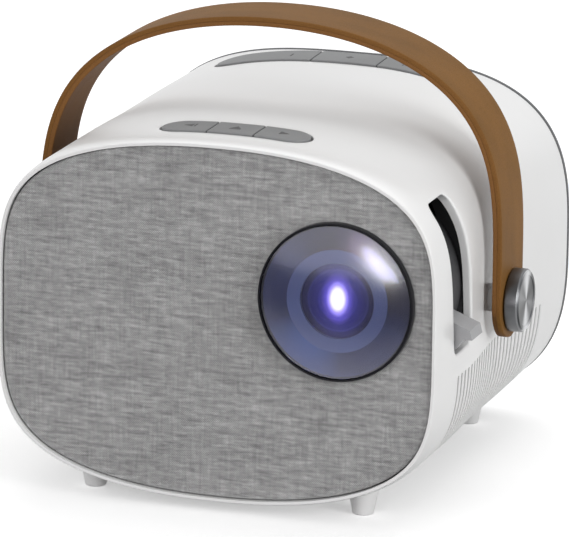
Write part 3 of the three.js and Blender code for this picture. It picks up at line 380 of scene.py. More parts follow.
def gloss_black():
    """The lens rim: black outside, with a dark blue cone and a grey ring under the glass. The cone's
    colour is painted reflection, changing with direction round the lens axis.
    """
    f = Finish("polished black rim")
    radius, right, up = from_lens_axis(f)
    speck = f.noise(f.place(), 500, 3)
    # Painted reflections: the cone goes from pinkish grey at the upper right through dark brown and navy
    # to light blue at the lower left
    painted_reflection_turn = f.clear((0.55 * right + 0.85 * up) / radius, 1, -1)
    cone = f.ramp(
        painted_reflection_turn, (0, linear((104, 86, 108))), (0.09, linear((62, 50, 42))), (0.26, linear((34, 34, 60))),
        (0.42, linear((56, 70, 116))), (0.78, linear((46, 56, 104))), (0.9, linear((58, 70, 108))),
        (1, linear((76, 114, 180))))
    inner_ring = f.ramp(painted_reflection_turn, (0.1, linear((108, 124, 170))), (0.9, linear((110, 128, 174))))
    fading = f.clear(radius, (BEZEL_STEP + 0.1) * MM, (NECK_INNER + 1.5) * MM)
    cone = f.blend(0.25 * fading, cone, linear((84, 92, 128)))
    colour = f.blend(radius > BEZEL_STEP * MM, inner_ring, cone)
    colour = f.blend(radius > (GLASS_RADIUS - 0.5) * MM, colour, linear((20, 20, 26)))
    return f.done(Base_Color=colour, Roughness=0.3 + 0.08 * speck, Specular_IOR_Level=0.25)


def pupil_coating():
    """The inner lens: violet coating in faint rings, and a painted glow, emission from the lens itself in
    place of the lamp's image shining through.
    """
    f = Finish("violet coated inner lens")
    radius, right, up = from_lens_axis(f)
    haze = f.noise(f.place(), 300, 2)
    colour = f.ramp(
        radius / (BEZEL_HOLE * MM), (0.1, linear((44, 42, 150))), (0.45, linear((30, 32, 124))),
        (0.5, linear((52, 52, 148))), (0.54, linear((26, 28, 112))), (0.76, linear((28, 30, 112))),
        (0.8, linear((58, 60, 140))), (0.84, linear((22, 24, 92))), (1, linear((18, 20, 76))),
    )
    # Painted glow: a white spot with a violet halo, taller than wide and a little above the middle
    wide, tall = right / 1.15, (up - 0.0005) / 1.8
    lamp = ((wide * wide + tall * tall) ** 0.5) / (BEZEL_HOLE * MM)
    glow = f.ramp(
        lamp, (0, (1, 1, 1, 1)), (0.15, (0.95, 0.92, 1, 1)), (0.2, (0.4, 0.33, 0.85, 1)),
        (0.27, (0.09, 0.065, 0.36, 1)), (0.4, (0.012, 0.01, 0.08, 1)), (0.7, (0, 0, 0.005, 1)),
    )
    return f.done(
        Base_Color=colour, Roughness=0.1 + 0.06 * haze, Specular_IOR_Level=0.25,
        Emission_Color=glow, Emission_Strength=bpy.context.scene.projector.painted_lamp_glow,
    )


def turned_metal():
    """Metal faced on a lathe: fine rings, and a painted highlight, a soft cross of light set in its
    colour by angle round the screw.
    """
    f = Finish("turned bright metal")
    x, y, z = f.parts(f.place())
    across = y - STRAP_Y * MM
    up = z - AXIS_HEIGHT * MM
    radius = (across * across + up * up) ** 0.5
    turn = f.node("Math", {"operation": "ARCTAN2"}, {0: up, 1: across})
    rings = f.noise(f.vector(radius * 9000, 0, 0), 1, 2, 0.6)
    # Painted highlight: two broad and four narrow lobes of light and dark round the screw's axis, in the
    # face's colour
    broad = f.node("Math", {"operation": "COSINE"}, {0: turn * 2 + 2.6})
    narrow = f.node("Math", {"operation": "COSINE"}, {0: turn * 4 + 0.7})
    painted_highlight_cross = f.clear(0.6 * broad + 0.4 * narrow, -0.9, 0.9)
    on_face = abs(x) > (HEAD_FACE - 0.35) * MM
    tone = on_face * (0.75 * painted_highlight_cross + 0.25 * rings) + (1 - on_face) * (0.45 + 0.2 * rings)
    colour = f.ramp(tone, (0.1, linear((52, 53, 54))), (0.5, linear((90, 91, 93))),
                    (0.9, linear((208, 209, 211))))
    return f.done(
        Base_Color=colour, Metallic=1, Roughness=0.28 + 0.14 * rings,
        Normal=f.bump(rings, 0.1, 0.00004),
    )


def plain_metal():
    return speckled("plated steel", (1, 3), (168, 169, 172), (202, 203, 206), 0.26, 0.2,
                    stretch=(300, 2200, 300), bump=(0.1, 0.00005), Metallic=1)


def brass():
    return speckled("turned brass", (1, 3), (176, 134, 66), (214, 174, 98), 0.22, 0.2,
                    stretch=(200, 200, 3000), Metallic=1)


def mirror_bright():
    f = Finish("polished reflector")
    haze = f.noise(f.place(), 200, 3)
    return f.done(Base_Color=linear((232, 234, 238)), Metallic=1, Roughness=0.03 + 0.08 * haze)


def coated_glass():
    """The front lens: clear glass under a blue and violet coating."""
    f = Finish("coated lens glass")
    haze = f.noise(f.place(), 60, 3)
    return f.done(
        Base_Color=linear((232, 232, 250)), Roughness=0.012 + 0.02 * haze, IOR=1.45,
        Transmission_Weight=1, Specular_Tint=linear((120, 120, 200)), Coat_Weight=0.58 + 0.1 * haze,
        Coat_Roughness=0.17, Coat_IOR=2.2,
    )


def clear_sheet():
    f = Finish("clear optical plate")
    haze = f.noise(f.place(), 90, 3)
    return f.done(Base_Color=linear((226, 234, 240)), Roughness=0.03 + 0.04 * haze, IOR=1.49,
                  Transmission_Weight=1)


def eye_window():
    f = Finish("dark window")
    haze = f.noise(f.place(), 200, 3)
    return f.done(Base_Color=linear((40, 16, 20)), Roughness=0.08 + 0.08 * haze, Coat_Weight=0.5)


def contact_gold():
    return speckled("gilt contact", (900, 2), (198, 158, 84), (226, 190, 112), 0.25, 0.15, Metallic=1)


def board_green():
    f = Finish("circuit board")
    tracks = f.node("TexBrick", inputs={
        "Vector": f.place(), "Scale": 160, "Color1": linear((20, 84, 48)), "Color2": linear((26, 98, 58)),
        "Mortar": linear((60, 132, 84)), "Mortar Size": 0.012,
    })
    grain = f.noise(f.place(), 500, 2)
    return f.done(Base_Color=tracks, Roughness=0.35 + 0.2 * grain, Normal=f.bump(grain, 0.1, 0.0001))


def lamp_yellow():
    return speckled("lamp phosphor", (900, 2), (236, 214, 110), (248, 232, 150), 0.5,
                    Emission_Color=linear((255, 244, 214)), Emission_Strength=6)


def cone_paper():
    return speckled("speaker cone paper", (600, 4), (30, 30, 31), (50, 50, 51), 0.9, bump=(0.4, 0.0003))


# Mesh building
def place(points):
    """Drawing points in millimetres to the frame's metres."""
    points = np.asarray(points, float)
    return (points + [0, 0, AXIS_HEIGHT]) * MM


def build(name, points, faces, maker, extra=None, sharp=34):
    """A piece from drawing points and faces, closed, facing outwards and smoothly shaded."""
    mesh = bpy.data.meshes.new(name)
    mesh.from_pydata(place(points).tolist(), [], [list(map(int, face)) for face in faces])
    if extra:
        for key, values in extra.items():
            made = mesh.attributes.new(key, "FLOAT", "POINT")
            made.data.foreach_set("value", np.asarray(values, float))
    bm = bmesh.new()
    bm.from_mesh(mesh)
    bmesh.ops.remove_doubles(bm, verts=bm.verts, dist=0.000002)
    bmesh.ops.recalc_face_normals(bm, faces=bm.faces)
    face_outwards(bm)
    bm.to_mesh(mesh)
    bm.free()
    piece = bpy.data.objects.new(name, mesh)
    bpy.context.scene.collection.objects.link(piece)
    mesh.materials.append(finish(maker))
    smooth(piece, sharp)
    return piece


def face_outwards(bm):
    """Turns round each closed island whose volume comes out negative."""
    unseen = set(bm.faces)
    while unseen:
        stack = [unseen.pop()]
        island = []
        while stack:
            face = stack.pop()
            island.append(face)
            for edge in face.edges:
                for other in edge.link_faces:
                    if other in unseen:
                        unseen.remove(other)
                        stack.append(other)
        volume = sum(f.calc_center_median().dot(f.normal) * f.calc_area() for f in island)
        if volume < 0:
            bmesh.ops.reverse_faces(bm, faces=island)


def smooth(piece, sharp=34):
    piece.data.shade_smooth()
    piece.data.set_sharp_from_angle(angle=math.radians(sharp))


def loft(rings, looped=False, caps=True):
    """Points and faces of a skin through rings of equal count."""
    count = len(rings[0])
    points = np.concatenate(rings)
    faces = []
    links = len(rings) if looped else len(rings) - 1
    for i in range(links):
        here, there = i * count, (i + 1) % len(rings) * count
        for j in range(count):
            k = (j + 1) % count
            faces.append((here + j, here + k, there + k, there + j))
    if caps and not looped:
        end = (len(rings) - 1) * count
        faces.append(tuple(range(count))[::-1])
        faces.append(tuple(end + j for j in range(count)))
    return points, faces


def merged(*shapes):
    """Several (points, faces) as one."""
    points, faces, start = [], [], 0
    for some, those in shapes:
        points.append(some)
        faces += [tuple(start + i for i in face) for face in those]
        start += len(some)
    return np.concatenate(points), faces


def quarter(steps):
    """Angles from 0 to a right angle."""
    return np.linspace(0, math.pi / 2, steps)


def full_turn(steps):
    """Angles once round, without the last, which is the first again."""
    return np.linspace(0, math.tau, steps, endpoint=False)


def oblong(x, y, z, wide, tall):
    """The four corners of an upright oblong at depth y."""
    return np.array([(x + i * wide / 2, y, z + j * tall / 2)
                     for i, j in ((-1, -1), (1, -1), (1, 1), (-1, 1))])


def turned(profile, axis, centre=(0, 0, 0), sides=96, looped=False):
    """A turned shape. The profile is [radius, place along the axis]."""
    turn = full_turn(sides)
    rings = []
    for radius, along in profile:
        a, b = radius * np.cos(turn), radius * np.sin(turn)
        c = np.full(sides, float(along))
        ring = {"x": (c, a, b), "y": (a, c, b), "z": (a, b, c)}[axis]
        rings.append(np.stack(ring, 1) + centre)
    return loft(rings, looped)


def rod(radius, start, stop, axis, centre=(0, 0, 0), sides=96):
    """A round bar between two places along an axis."""
    return turned([[0, start], [radius, start], [radius, stop], [0, stop]], axis, centre, sides)


def rounded(profile, radius, steps=5):
    """An open or closed outline of [a, b] corners, with each marked corner turned round.
    A corner is marked by a third number, its own radius, or takes the given one."""
    made = []
    count = len(profile)
    for i, corner in enumerate(profile):
        here = np.array(corner[:2], float)
        size = corner[2] if len(corner) > 2 else radius
        before = np.array(profile[i - 1][:2], float)
        after = np.array(profile[(i + 1) % count][:2], float)
        one, two = before - here, after - here
        long_one, long_two = np.linalg.norm(one), np.linalg.norm(two)
        if size <= 0 or long_one < 1e-9 or long_two < 1e-9:
            made.append(here)
            continue
        one, two = one / long_one, two / long_two
        angle = math.acos(max(-1, min(1, float(one @ two))))
        if angle > math.pi - 0.02:
            made.append(here)
            continue
        run = min(size / math.tan(angle / 2), 0.49 * long_one, 0.49 * long_two)
        start, stop = here + one * run, here + two * run
        for t in np.linspace(0, 1, steps):
            made.append((1 - t) ** 2 * start + 2 * t * (1 - t) * here + t ** 2 * stop)
    return np.array(made)


def cutter(name, shape, maker=shell_white):
    """A solid to cut with. It isn't a piece and goes once it has cut."""
    return build(name, *shape, maker)


def carve(piece, cutters):
    """Cuts the piece with closed meshes, and takes them away."""
    for one in cutters:
        change = piece.modifiers.new("cut", "BOOLEAN")
        change.operation = "DIFFERENCE"
        change.solver = "MANIFOLD"
        change.object = one
    graph = bpy.context.evaluated_depsgraph_get()
    mesh = bpy.data.meshes.new_from_object(piece.evaluated_get(graph))
    old = piece.data
    piece.modifiers.clear()
    piece.data = mesh
    bpy.data.meshes.remove(old)
    for one in cutters:
        data = one.data
        bpy.data.objects.remove(one)
        bpy.data.meshes.remove(data)
    tidy(piece)
    return piece


def tidy(piece):
    """Merges what a cut left in two, and shades the result."""
    bm = bmesh.new()
    bm.from_mesh(piece.data)
    bmesh.ops.remove_doubles(bm, verts=bm.verts, dist=0.000003)
    bmesh.ops.dissolve_degenerate(bm, edges=bm.edges, dist=0.000002)
    bm.to_mesh(piece.data)
    bm.free()
    smooth(piece)


def row_tree():
    """Geometry nodes that set copies of one shape in even rows, as one mesh."""
    name = "rows of one shape"
    if name in bpy.data.node_groups:
        return bpy.data.node_groups[name]
    tree = bpy.data.node_groups.new(name, "GeometryNodeTree")
    sockets = (("Shape", "Geometry"), ("Count", "Int"), ("Step", "Vector"), ("Rows", "Int"),
               ("Row step", "Vector"), ("Finish", "Material"))
    for label, kind in sockets:
        tree.interface.new_socket(label, in_out="INPUT", socket_type="NodeSocket" + kind)
    tree.interface.new_socket("Shape", in_out="OUTPUT", socket_type="NodeSocketGeometry")
    given, result = tree.nodes.new("NodeGroupInput"), tree.nodes.new("NodeGroupOutput")

    def step(kind, links, **settings):
        made = tree.nodes.new("GeometryNode" + kind)
        for key, value in settings.items():
            setattr(made, key, value)
        for key, socket in links.items():
            tree.links.new(socket, made.inputs[key])
        return made.outputs[0]

    def line(count, offset):
        links = {"Count": given.outputs[count], "Offset": given.outputs[offset]}
        return step("MeshLine", links, mode="OFFSET")

    row, rows = line("Count", "Step"), line("Rows", "Row step")
    grid = step("RealizeInstances", {0: step("InstanceOnPoints", {"Points": rows, "Instance": row})})
    copies = step("InstanceOnPoints", {"Points": grid, "Instance": given.outputs["Shape"]})
    whole = step("SetMaterial", {"Geometry": step("RealizeInstances", {0: copies}),
                                 "Material": given.outputs["Finish"]})
    tree.links.new(whole, result.inputs[0])
    return tree


def in_rows(shape, maker, count, step, rows=1, row_step=(0, 0, 0)):
    """The points and faces of a shape set in even rows, all in drawing millimetres."""
    mesh = bpy.data.meshes.new("one of a row")
    mesh.from_pydata(np.asarray(shape[0], float).tolist(), [], [list(map(int, f)) for f in shape[1]])
    one = bpy.data.objects.new("one of a row", mesh)
    bpy.context.scene.collection.objects.link(one)
    change = one.modifiers.new("rows", "NODES")
    change.node_group = row_tree()
    given = {"Count": count, "Step": step, "Rows": rows, "Row step": row_step, "Finish": finish(maker)}
    for socket in change.node_group.interface.items_tree:
        if socket.in_out == "INPUT" and socket.name in given:
            value = given[socket.name]
            change[socket.identifier] = [float(v) for v in value] if isinstance(value, tuple) else value
    graph = bpy.context.evaluated_depsgraph_get()
    whole = bpy.data.meshes.new_from_object(one.evaluated_get(graph))
    points = np.empty(3 * len(whole.vertices))
    whole.vertices.foreach_get("co", points)
    faces = [tuple(face.vertices) for face in whole.polygons]
    bpy.data.objects.remove(one)
    bpy.data.meshes.remove(mesh)
    bpy.data.meshes.remove(whole)
    return points.reshape(-1, 3), faces


def shape_of(piece):
    """The drawing points and faces of a piece, which goes."""
    points = np.empty(3 * len(piece.data.vertices))
    piece.data.vertices.foreach_get("co", points)
    faces = [tuple(face.vertices) for face in piece.data.polygons]
    mesh = piece.data
    bpy.data.objects.remove(piece)
    bpy.data.meshes.remove(mesh)
    return points.reshape(-1, 3) / MM - [0, 0, AXIS_HEIGHT], faces


def dress(piece, body, slot, *nodes):
    """Attaches the piece to what carries it and hides the CAD nodes that it stands for. The slot, for the
    finish, is not used.
    """
    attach(piece, body)
    if nodes:
        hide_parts(*nodes)
    return piece


def show(name, shape, maker, body, slot, *nodes, sharp=34):
    """Builds a visible piece from (points, faces) and dresses it."""
    return dress(build(name, *shape, maker, sharp=sharp), body, slot, *nodes)


# The body's form
def bow_ring(y, half_width, half_height, side_bow, top_bow, sides=SIDES):
    turn = full_turn(sides)
    c = abs(np.cos(turn)) / half_width
    s = abs(np.sin(turn)) / half_height
    low, high = np.zeros(sides), np.full(sides, float(half_width + half_height))
    for _ in range(46):
        r = (low + high) / 2
        inside = (c * r) ** side_bow + (s * r) ** top_bow < 1
        low, high = np.where(inside, r, low), np.where(inside, high, r)
    return np.stack([low * np.cos(turn), np.full(sides, float(y)), low * np.sin(turn)], 1)


def eased(t):
    u = min(max(t, 0), 1)
    return u * u * (3 - 2 * u)


def mixed(a, b, t):
    return a + (b - a) * t


LIP_Y = FACE - LIP_RUN
SHOULDER_Y = LIP_Y + SHOULDER_RUN
LEDGE_FRONT = FACE + CLOTH_THICK + FIT + BAFFLE_THICK + FIT


def skin(y):
    """Half-width, half-height and bows of the outer skin at depth y."""
    back = min(max((SHOULDER_Y - y) / SHOULDER_RUN, 0), 1)
    rise = mixed(LIP_RISE, SHOULDER_RISE, math.sqrt(1 - back * back))
    sink = eased((y - WAIST_START) / (WAIST_END - WAIST_START))
    flare = eased((y - WAIST_END) / (REAR_RIM - WAIST_END))
    front = (PANEL_W + rise, PANEL_H + rise) + PANEL_BOWS
    waist = (WAIST_W, WAIST_H) + WAIST_BOWS
    stern = (REAR_W, REAR_H, REAR_BOW, REAR_BOW)
    return [mixed(mixed(a, b, sink), c, flare) for a, b, c in zip(front, waist, stern)]


def skin_ring(y, inset=0):
    w, h, p, q = skin(y)
    return bow_ring(y, w - inset, h - inset, p, q)


def skin_x(y, z, inset=0):
    w, h, p, q = skin(y)
    return (w - inset) * (1 - min(abs(z) / (h - inset), 0.999) ** q) ** (1 / p)


def skin_z(x, y, inset=0):
    w, h, p, q = skin(y)
    return (h - inset) * (1 - min(abs(x) / (w - inset), 0.999) ** p) ** (1 / q)


# Mouths cut in the skin, with rounded edges. A mouth is a spine of (along, middle, half width).
def stadium(length, half, grow=0, ends=10, between=14):
    """Along and half width of a slot with round ends, from 0 to length."""
    radius = half + grow
    turn = quarter(ends)
    first = [(-grow + radius * (1 - math.cos(t)), radius * math.sin(t)) for t in turn]
    middle = [(mixed(half, length - half, i / between), radius) for i in range(1, between)]
    last = [(length - a, w) for a, w in reversed(first)]
    return first + middle + last


def mouth(spine, onto, edge, depth, out=1.5):
    """A cutter from spines (one for each growth) set onto the skin.
    onto(along, across, deep) gives a point. The edge is a rounding radius."""
    levels = [(-out, edge)]
    for deep in np.linspace(0, edge, 6):
        levels.append((deep, edge - math.sqrt(max(edge ** 2 - (edge - deep) ** 2, 0))))
    levels.append((depth, 0))
    rings = []
    for deep, grow in levels:
        line = spine(grow)
        half = len(line)
        near = [onto(a, m - w, deep) for a, m, w in line]
        far = [onto(a, m + w, deep) for a, m, w in line]
        rings.append(np.array(near + far[::-1]))
    points, faces = loft(rings, caps=False)
    count = 2 * half
    for start, order in ((0, 1), ((len(rings) - 1) * count, -1)):
        for i in range(half - 1):
            quad = (start + i, start + i + 1, start + count - 2 - i, start + count - 1 - i)
            faces.append(quad[::order])
    return points, faces


def key_half(strip, grow, ends=12, between=22):
    """A key strip's outline as (x, middle, half depth): a slot with round ends, bent as the strip is."""
    radius = strip["half_depth"] + grow
    reach = strip["half_length"] + grow - radius
    turn = quarter(ends)
    first = [(-reach - radius * math.cos(t), radius * math.sin(t)) for t in turn]
    middle = [(mixed(-reach, reach, i / between), radius) for i in range(1, between)]
    last = [(-x, w) for x, w in reversed(first)]
    return [(x, key_middle(strip, x), w) for x, w in first + middle + last]


def key_middle(strip, x):
    return strip["y"] - strip["bend"] * (x / strip["half_length"]) ** 2


def key_ring(strip, index, grow, sides=14):
    """One key's outline, with the same count of points for any growth."""
    radius = strip["half_depth"] + grow
    reach = strip["half_length"] + grow - radius
    short, past = strip["split"] - KEY_GAP / 2, strip["split"] + KEY_GAP / 2
    corner = 0.35
    low, high = ((-reach, -past), (-short, short), (past, reach))[index]

    def end(x, hand, is_tip):
        if is_tip:
            return [(x + hand * radius * math.cos(t), radius * math.sin(t))
                    for t in np.linspace(-math.pi / 2, math.pi / 2, 2 * sides)]
        line = [(x - hand * corner * (1 - math.cos(t)), -radius + corner * (1 - math.sin(t)))
                for t in np.linspace(math.pi / 2, 0, 6)]
        rise = [(x, mixed(-radius + corner, radius - corner, i / (2 * sides - 11)))
                for i in range(1, 2 * sides - 11)]
        return line + rise + [(a, -b) for a, b in reversed(line)]

    right = end(high, 1, index == 2)
    left = [(a, -b) for a, b in end(low, -1, index == 0)]
    front = [(mixed(left[-1][0], right[0][0], i / sides), -radius) for i in range(1, sides)]
    back = [(mixed(right[-1][0], left[0][0], i / sides), radius) for i in range(1, sides)]
    spots = right + back + left + front
    return np.array([(x, key_middle(strip, x) + v) for x, v in spots])


# Stage
class PROJECTOR_OT_stage(bpy.types.Operator):
    """Sets the pale floor, the soft light and the camera"""
    bl_idname = "projector.stage"
    bl_label = "Stage"

    def execute(self, context):
        scene = context.scene
        self.camera(scene)
        self.light(scene)
        self.floor()
        return {"FINISHED"}

    def camera(self, scene):
        turn, height, roll = (math.radians(a) for a in (VIEW_TURN, VIEW_HEIGHT, VIEW_ROLL))
        back = Vector((math.sin(turn) * math.cos(height), -math.cos(turn) * math.cos(height),
                       math.sin(height)))
        right = Vector((math.cos(turn), math.sin(turn), 0))
        up = back.cross(right)
        across = math.cos(roll) * right + math.sin(roll) * up
        above = -math.sin(roll) * right + math.cos(roll) * up
        data = bpy.data.cameras.new("photograph view")
        data.sensor_fit = "HORIZONTAL"
        data.sensor_width = SENSOR
        data.lens = SENSOR * VIEW_FOCAL / PHOTO_W
        data.shift_x = -(VIEW_CENTRE[0] - PHOTO_W / 2) / PHOTO_W
        data.shift_y = (VIEW_CENTRE[1] - PHOTO_H / 2) / PHOTO_W
        data.clip_start, data.clip_end = 0.05, 20
        camera = bpy.data.objects.new("photograph view", data)
        scene.collection.objects.link(camera)
        stand = Matrix.Translation(back * VIEW_AWAY + Vector((0, 0, AXIS_HEIGHT * MM)))
        camera.matrix_world = stand @ Matrix((across, above, back)).transposed().to_4x4()
        scene.camera = camera

    def light(self, scene):
        settings = scene.projector
        world = bpy.data.worlds.new("studio")
        scene.world = world
        world.use_nodes = True
        tree = world.node_tree
        surround = tree.nodes["Background"]
        seen, gloss, through = rays(tree, "Camera", "Glossy", "Transmission")
        bright = (seen + gloss + through).at_most(1)
        level = settings.surround
        # Reflections find less light behind the camera than behind the object
        way = tree.nodes.new("ShaderNodeSeparateXYZ")
        tree.links.new(tree.nodes.new("ShaderNodeTexCoord").outputs["Generated"], way.inputs[0])
        back = (Reading(tree, way.outputs["Y"]) * 0.9 + 0.75).at_least(0).at_most(1)
        mirrored = bright * (1 - seen)
        dimming = mirrored * (1 - back) * (1 - settings.front_gloss)
        feed(tree, surround.inputs["Strength"], level + (1 - level) * bright - dimming)
        surround.inputs["Color"].default_value = (1, 1, 1, 1)
        lens = (0.034, -0.06, 0.061)
        lamps = [
            ("overhead softbox", (0, 0.5, 1.1), (0, 0, 0.05), 1.2, 1, settings.key_power),
            ("front softbox", (-0.3, -1.3, 0.36), (0, 0, 0.05), 1.5, 0.9, settings.front_power),
            ("left softbox", (-1.2, 0, 0.5), (0, 0, 0.05), 0.6, 0.8, settings.left_power),
            ("right softbox", (1.1, -0.5, 0.32), (0, 0, 0.05), 0.5, 0.6, settings.right_power),
            ("lens softbox", (0.07, -1.0, 0.095), lens, 0.1, 0.34, settings.lens_power),
            ("lens glow", (-0.03, -1.0, 0.18), lens, 0.16, 0.3, settings.lens_power * 0.2),
        ]
        for name, at, towards, wide, deep, power in lamps:
            lamp = bpy.data.lights.new(name, "AREA")
            lamp.shape = "ELLIPSE" if "lens" in name else "RECTANGLE"
            lamp.color = (1, 0.76, 0.88) if name == "lens glow" else (1, 1, 1)
            lamp.size, lamp.size_y = wide, deep
            lamp.energy = power
            made = bpy.data.objects.new(name, lamp)
            scene.collection.objects.link(made)
            aim = (Vector(towards) - Vector(at)).to_track_quat("-Z", "Y").to_matrix().to_4x4()
            roll = Matrix.Rotation(math.radians(45 if "lens" in name else 0), 4, "Z")
            made.matrix_world = Matrix.Translation(at) @ aim @ roll

    def floor(self):
        settings = bpy.context.scene.projector
        reach = 6
        mesh = bpy.data.meshes.new("floor")
        corners = [(-reach, -reach, 0), (reach, -reach, 0), (reach, reach, 0), (-reach, reach, 0)]
        mesh.from_pydata(corners, [], [(0, 1, 2, 3)])
        made = bpy.data.objects.new("floor", mesh)
        bpy.context.scene.collection.objects.link(made)
        f = Finish("pale floor")
        tree = f.tree
        camera, gloss, through, diffuse = rays(tree, "Camera", "Glossy", "Transmission", "Diffuse")
        f.done(Base_Color=(0.92, 0.92, 0.92, 1), Roughness=0.9, Specular_IOR_Level=0.1)
        glow = f.node("Emission", inputs={"Color": (1, 1, 1, 1), "Strength": settings.floor_lift})
        dim = f.node("BsdfDiffuse", inputs={"Color": (settings.floor_bounce,) * 3 + (1,)})
        seen = tree.nodes.new("ShaderNodeAddShader")
        pick = tree.nodes.new("ShaderNodeMixShader")
        tree.links.new(f.shader.outputs[0], seen.inputs[0])
        tree.links.new(glow.socket, seen.inputs[1])
        feed(tree, pick.inputs[0], diffuse)
        tree.links.new(seen.outputs[0], pick.inputs[1])
        tree.links.new(dim.socket, pick.inputs[2])
        # Reflections find less light in front of the object, as the world gives them
        gloss = (gloss + through).at_most(1) * (1 - camera)
        ahead = f.clear(f.parts(f.place())[1], -0.06, -0.2)
        mirrored = tree.nodes.new("ShaderNodeMixShader")
        dark = f.node("BsdfDiffuse", inputs={"Color": (settings.front_gloss,) * 3 + (1,)})
        feed(tree, mirrored.inputs[0], gloss * ahead)
        tree.links.new(pick.outputs[0], mirrored.inputs[1])
        tree.links.new(dark.socket, mirrored.inputs[2])
        tree.links.new(mirrored.outputs[0], tree.nodes["Material Output"].inputs[0])
        mesh.materials.append(f.material)


class PROJECTOR_OT_shell(bpy.types.Operator):
    """Makes the main shell with its vents, key wells and focus slot"""
    bl_idname = "projector.shell"
    bl_label = "Main shell"

    def execute(self, context):
        rounding = [SHOULDER_Y - SHOULDER_RUN * math.cos(t) for t in quarter(14)]
        even = list(np.linspace(SHOULDER_Y, REAR_RIM - RIM_ROUND, 54))[1:]
        rings = [skin_ring(y) for y in rounding + even]
        for t in quarter(6)[1:]:
            rings.append(skin_ring(REAR_RIM - RIM_ROUND + RIM_ROUND * math.sin(t),
                                   RIM_ROUND * (1 - math.cos(t))))
        rings.append(skin_ring(REAR_RIM, WALL))
        ledge_back = LEDGE_FRONT + LEDGE_THICK
        rings += [skin_ring(y, WALL) for y in np.linspace(REAR_RIM - 0.5, ledge_back + LEDGE, 16)]
        seat = (PANEL_W + FIT, PANEL_H + FIT) + PANEL_BOWS
        inner = (PANEL_W - LEDGE, PANEL_H - LEDGE) + PANEL_BOWS
        rings.append(bow_ring(ledge_back, *inner))
        rings.append(bow_ring(LEDGE_FRONT, *inner))
        rings.append(bow_ring(LEDGE_FRONT, *seat))
        # The lip that frames the cloth is turned over in a small roll
        w, h, p, q = skin(LIP_Y)
        for t in np.linspace(0, math.pi, 9)[1:-1]:
            share = (1 - math.cos(t)) / 2
            rings.append(bow_ring(LIP_Y, mixed(seat[0], w, share), mixed(seat[1], h, share), p, q))
        points, faces = loft(rings, looped=True)
        shell = build("white_shell", points, faces, shell_white)
        shell.data.materials.append(finish(shell_inside_painted_shade))
        carve(shell, self.cutters())
        self.paint_inside(shell)
        dress(shell, "housing", "shell_white", "main_shell")
        return {"FINISHED"}

    def cutters(self):
        made = []

        def on_side(hand):
            def onto(along, across, deep):
                return (hand * (skin_x(across, along) - deep), across, along)
            return onto

        tall = SLOT_TOP - SLOT_FOOT
        half = (SLOT_REAR - SLOT_FRONT) / 2

        def slot(grow):
            line = []
            for along, wide in rounded_bar(tall, half, SLOT_CORNER, grow):
                lean = SLOT_LEAN * along / tall
                line.append((SLOT_FOOT + along, SLOT_FRONT + half - lean, wide))
            return line

        made.append(cutter("slot", mouth(slot, on_side(1), edge=0.7, depth=22, out=6)))
        for strip, name in ((FRONT_KEYS, "front well"), (REAR_KEYS, "rear well")):
            def well(grow, strip=strip):
                return key_half(strip, FIT + grow)

            def onto(along, across, deep):
                return (along, across, skin_z(along, across) - deep)
            made.append(cutter(name, mouth(well, onto, edge=0.3, depth=9)))
        vents = self.vents()
        for hand in (1, -1):
            points = vents[0] * [hand, 1, 1]
            made.append(cutter("vents", (points, vents[1])))
        holes = [rod(SHANK_RADIUS + FIT, hand * 50, hand * 66, "x", (0, STRAP_Y, 0), 32)
                 for hand in (1, -1)]
        holes.append(rod(TRIPOD_RADIUS + FIT, -60, -40, "z", sides=48))
        for x in (-FOOT_X, FOOT_X):
            for y in (FOOT_FRONT, FOOT_REAR):
                holes.append(rod(FOOT_HOLE, -52, -30, "z", (x, y, 0), 24))
        made.append(cutter("holes", merged(*holes)))
        return made

    def vents(self):
        """The louvre slots of one side, set in a row and bent round the lower corner."""
        reach = self.corner(VENT_FRONT)[0][-1]

        def spine(grow):
            return [(a, 0, wide) for a, wide in stadium(reach, VENT_SLOT / 2, grow, ends=5, between=30)]

        def flat(along, across, deep):
            return (along, across, deep)
        one = mouth(spine, flat, edge=0.22, depth=3.4, out=1.2)
        points, faces = in_rows(one, shell_white, VENT_COUNT, (0, VENT_PITCH, 0))
        bent = []
        corners = {}
        for along, across, deep in points:
            middle = VENT_FRONT + VENT_SLOT / 2 + VENT_PITCH * round(across / VENT_PITCH)
            if middle not in corners:
                corners[middle] = self.corner(middle)
            length, places, normal, run = corners[middle]
            share = along / reach * length[-1]
            past = min(share, 0) + max(share - length[-1], 0)
            end = 0 if past < 0 else -1
            x, z, nx, nz = (np.interp(share, length, line) for line in (
                places[:, 0], places[:, 1], normal[:, 0], normal[:, 1]))
            if past:
                x, z = places[end] + run[end] * past
            bent.append((x - nx * deep, VENT_FRONT + VENT_SLOT / 2 + across, z - nz * deep))
        return np.array(bent), faces

    def corner(self, y):
        """The skin's section from the top of the vents down round to their inner end."""
        w, h, p, q = skin(y)
        start = math.asin((-VENT_TOP / h) ** (q / 2))
        stop = math.acos((VENT_INNER_X / w) ** (p / 2))
        turn = np.linspace(start, stop, 60)
        places = np.stack([w * np.cos(turn) ** (2 / p), -h * np.sin(turn) ** (2 / q)], 1)
        step = np.linalg.norm(np.diff(places, axis=0), axis=1)
        length = np.concatenate([[0], np.cumsum(step)])
        even = np.linspace(0, length[-1], 40)
        places = np.stack([np.interp(even, length, line) for line in places.T], 1)
        run = np.gradient(places, axis=0)
        run /= np.linalg.norm(run, axis=1)[:, None]
        return even, places, np.stack([-run[:, 1], run[:, 0]], 1), run

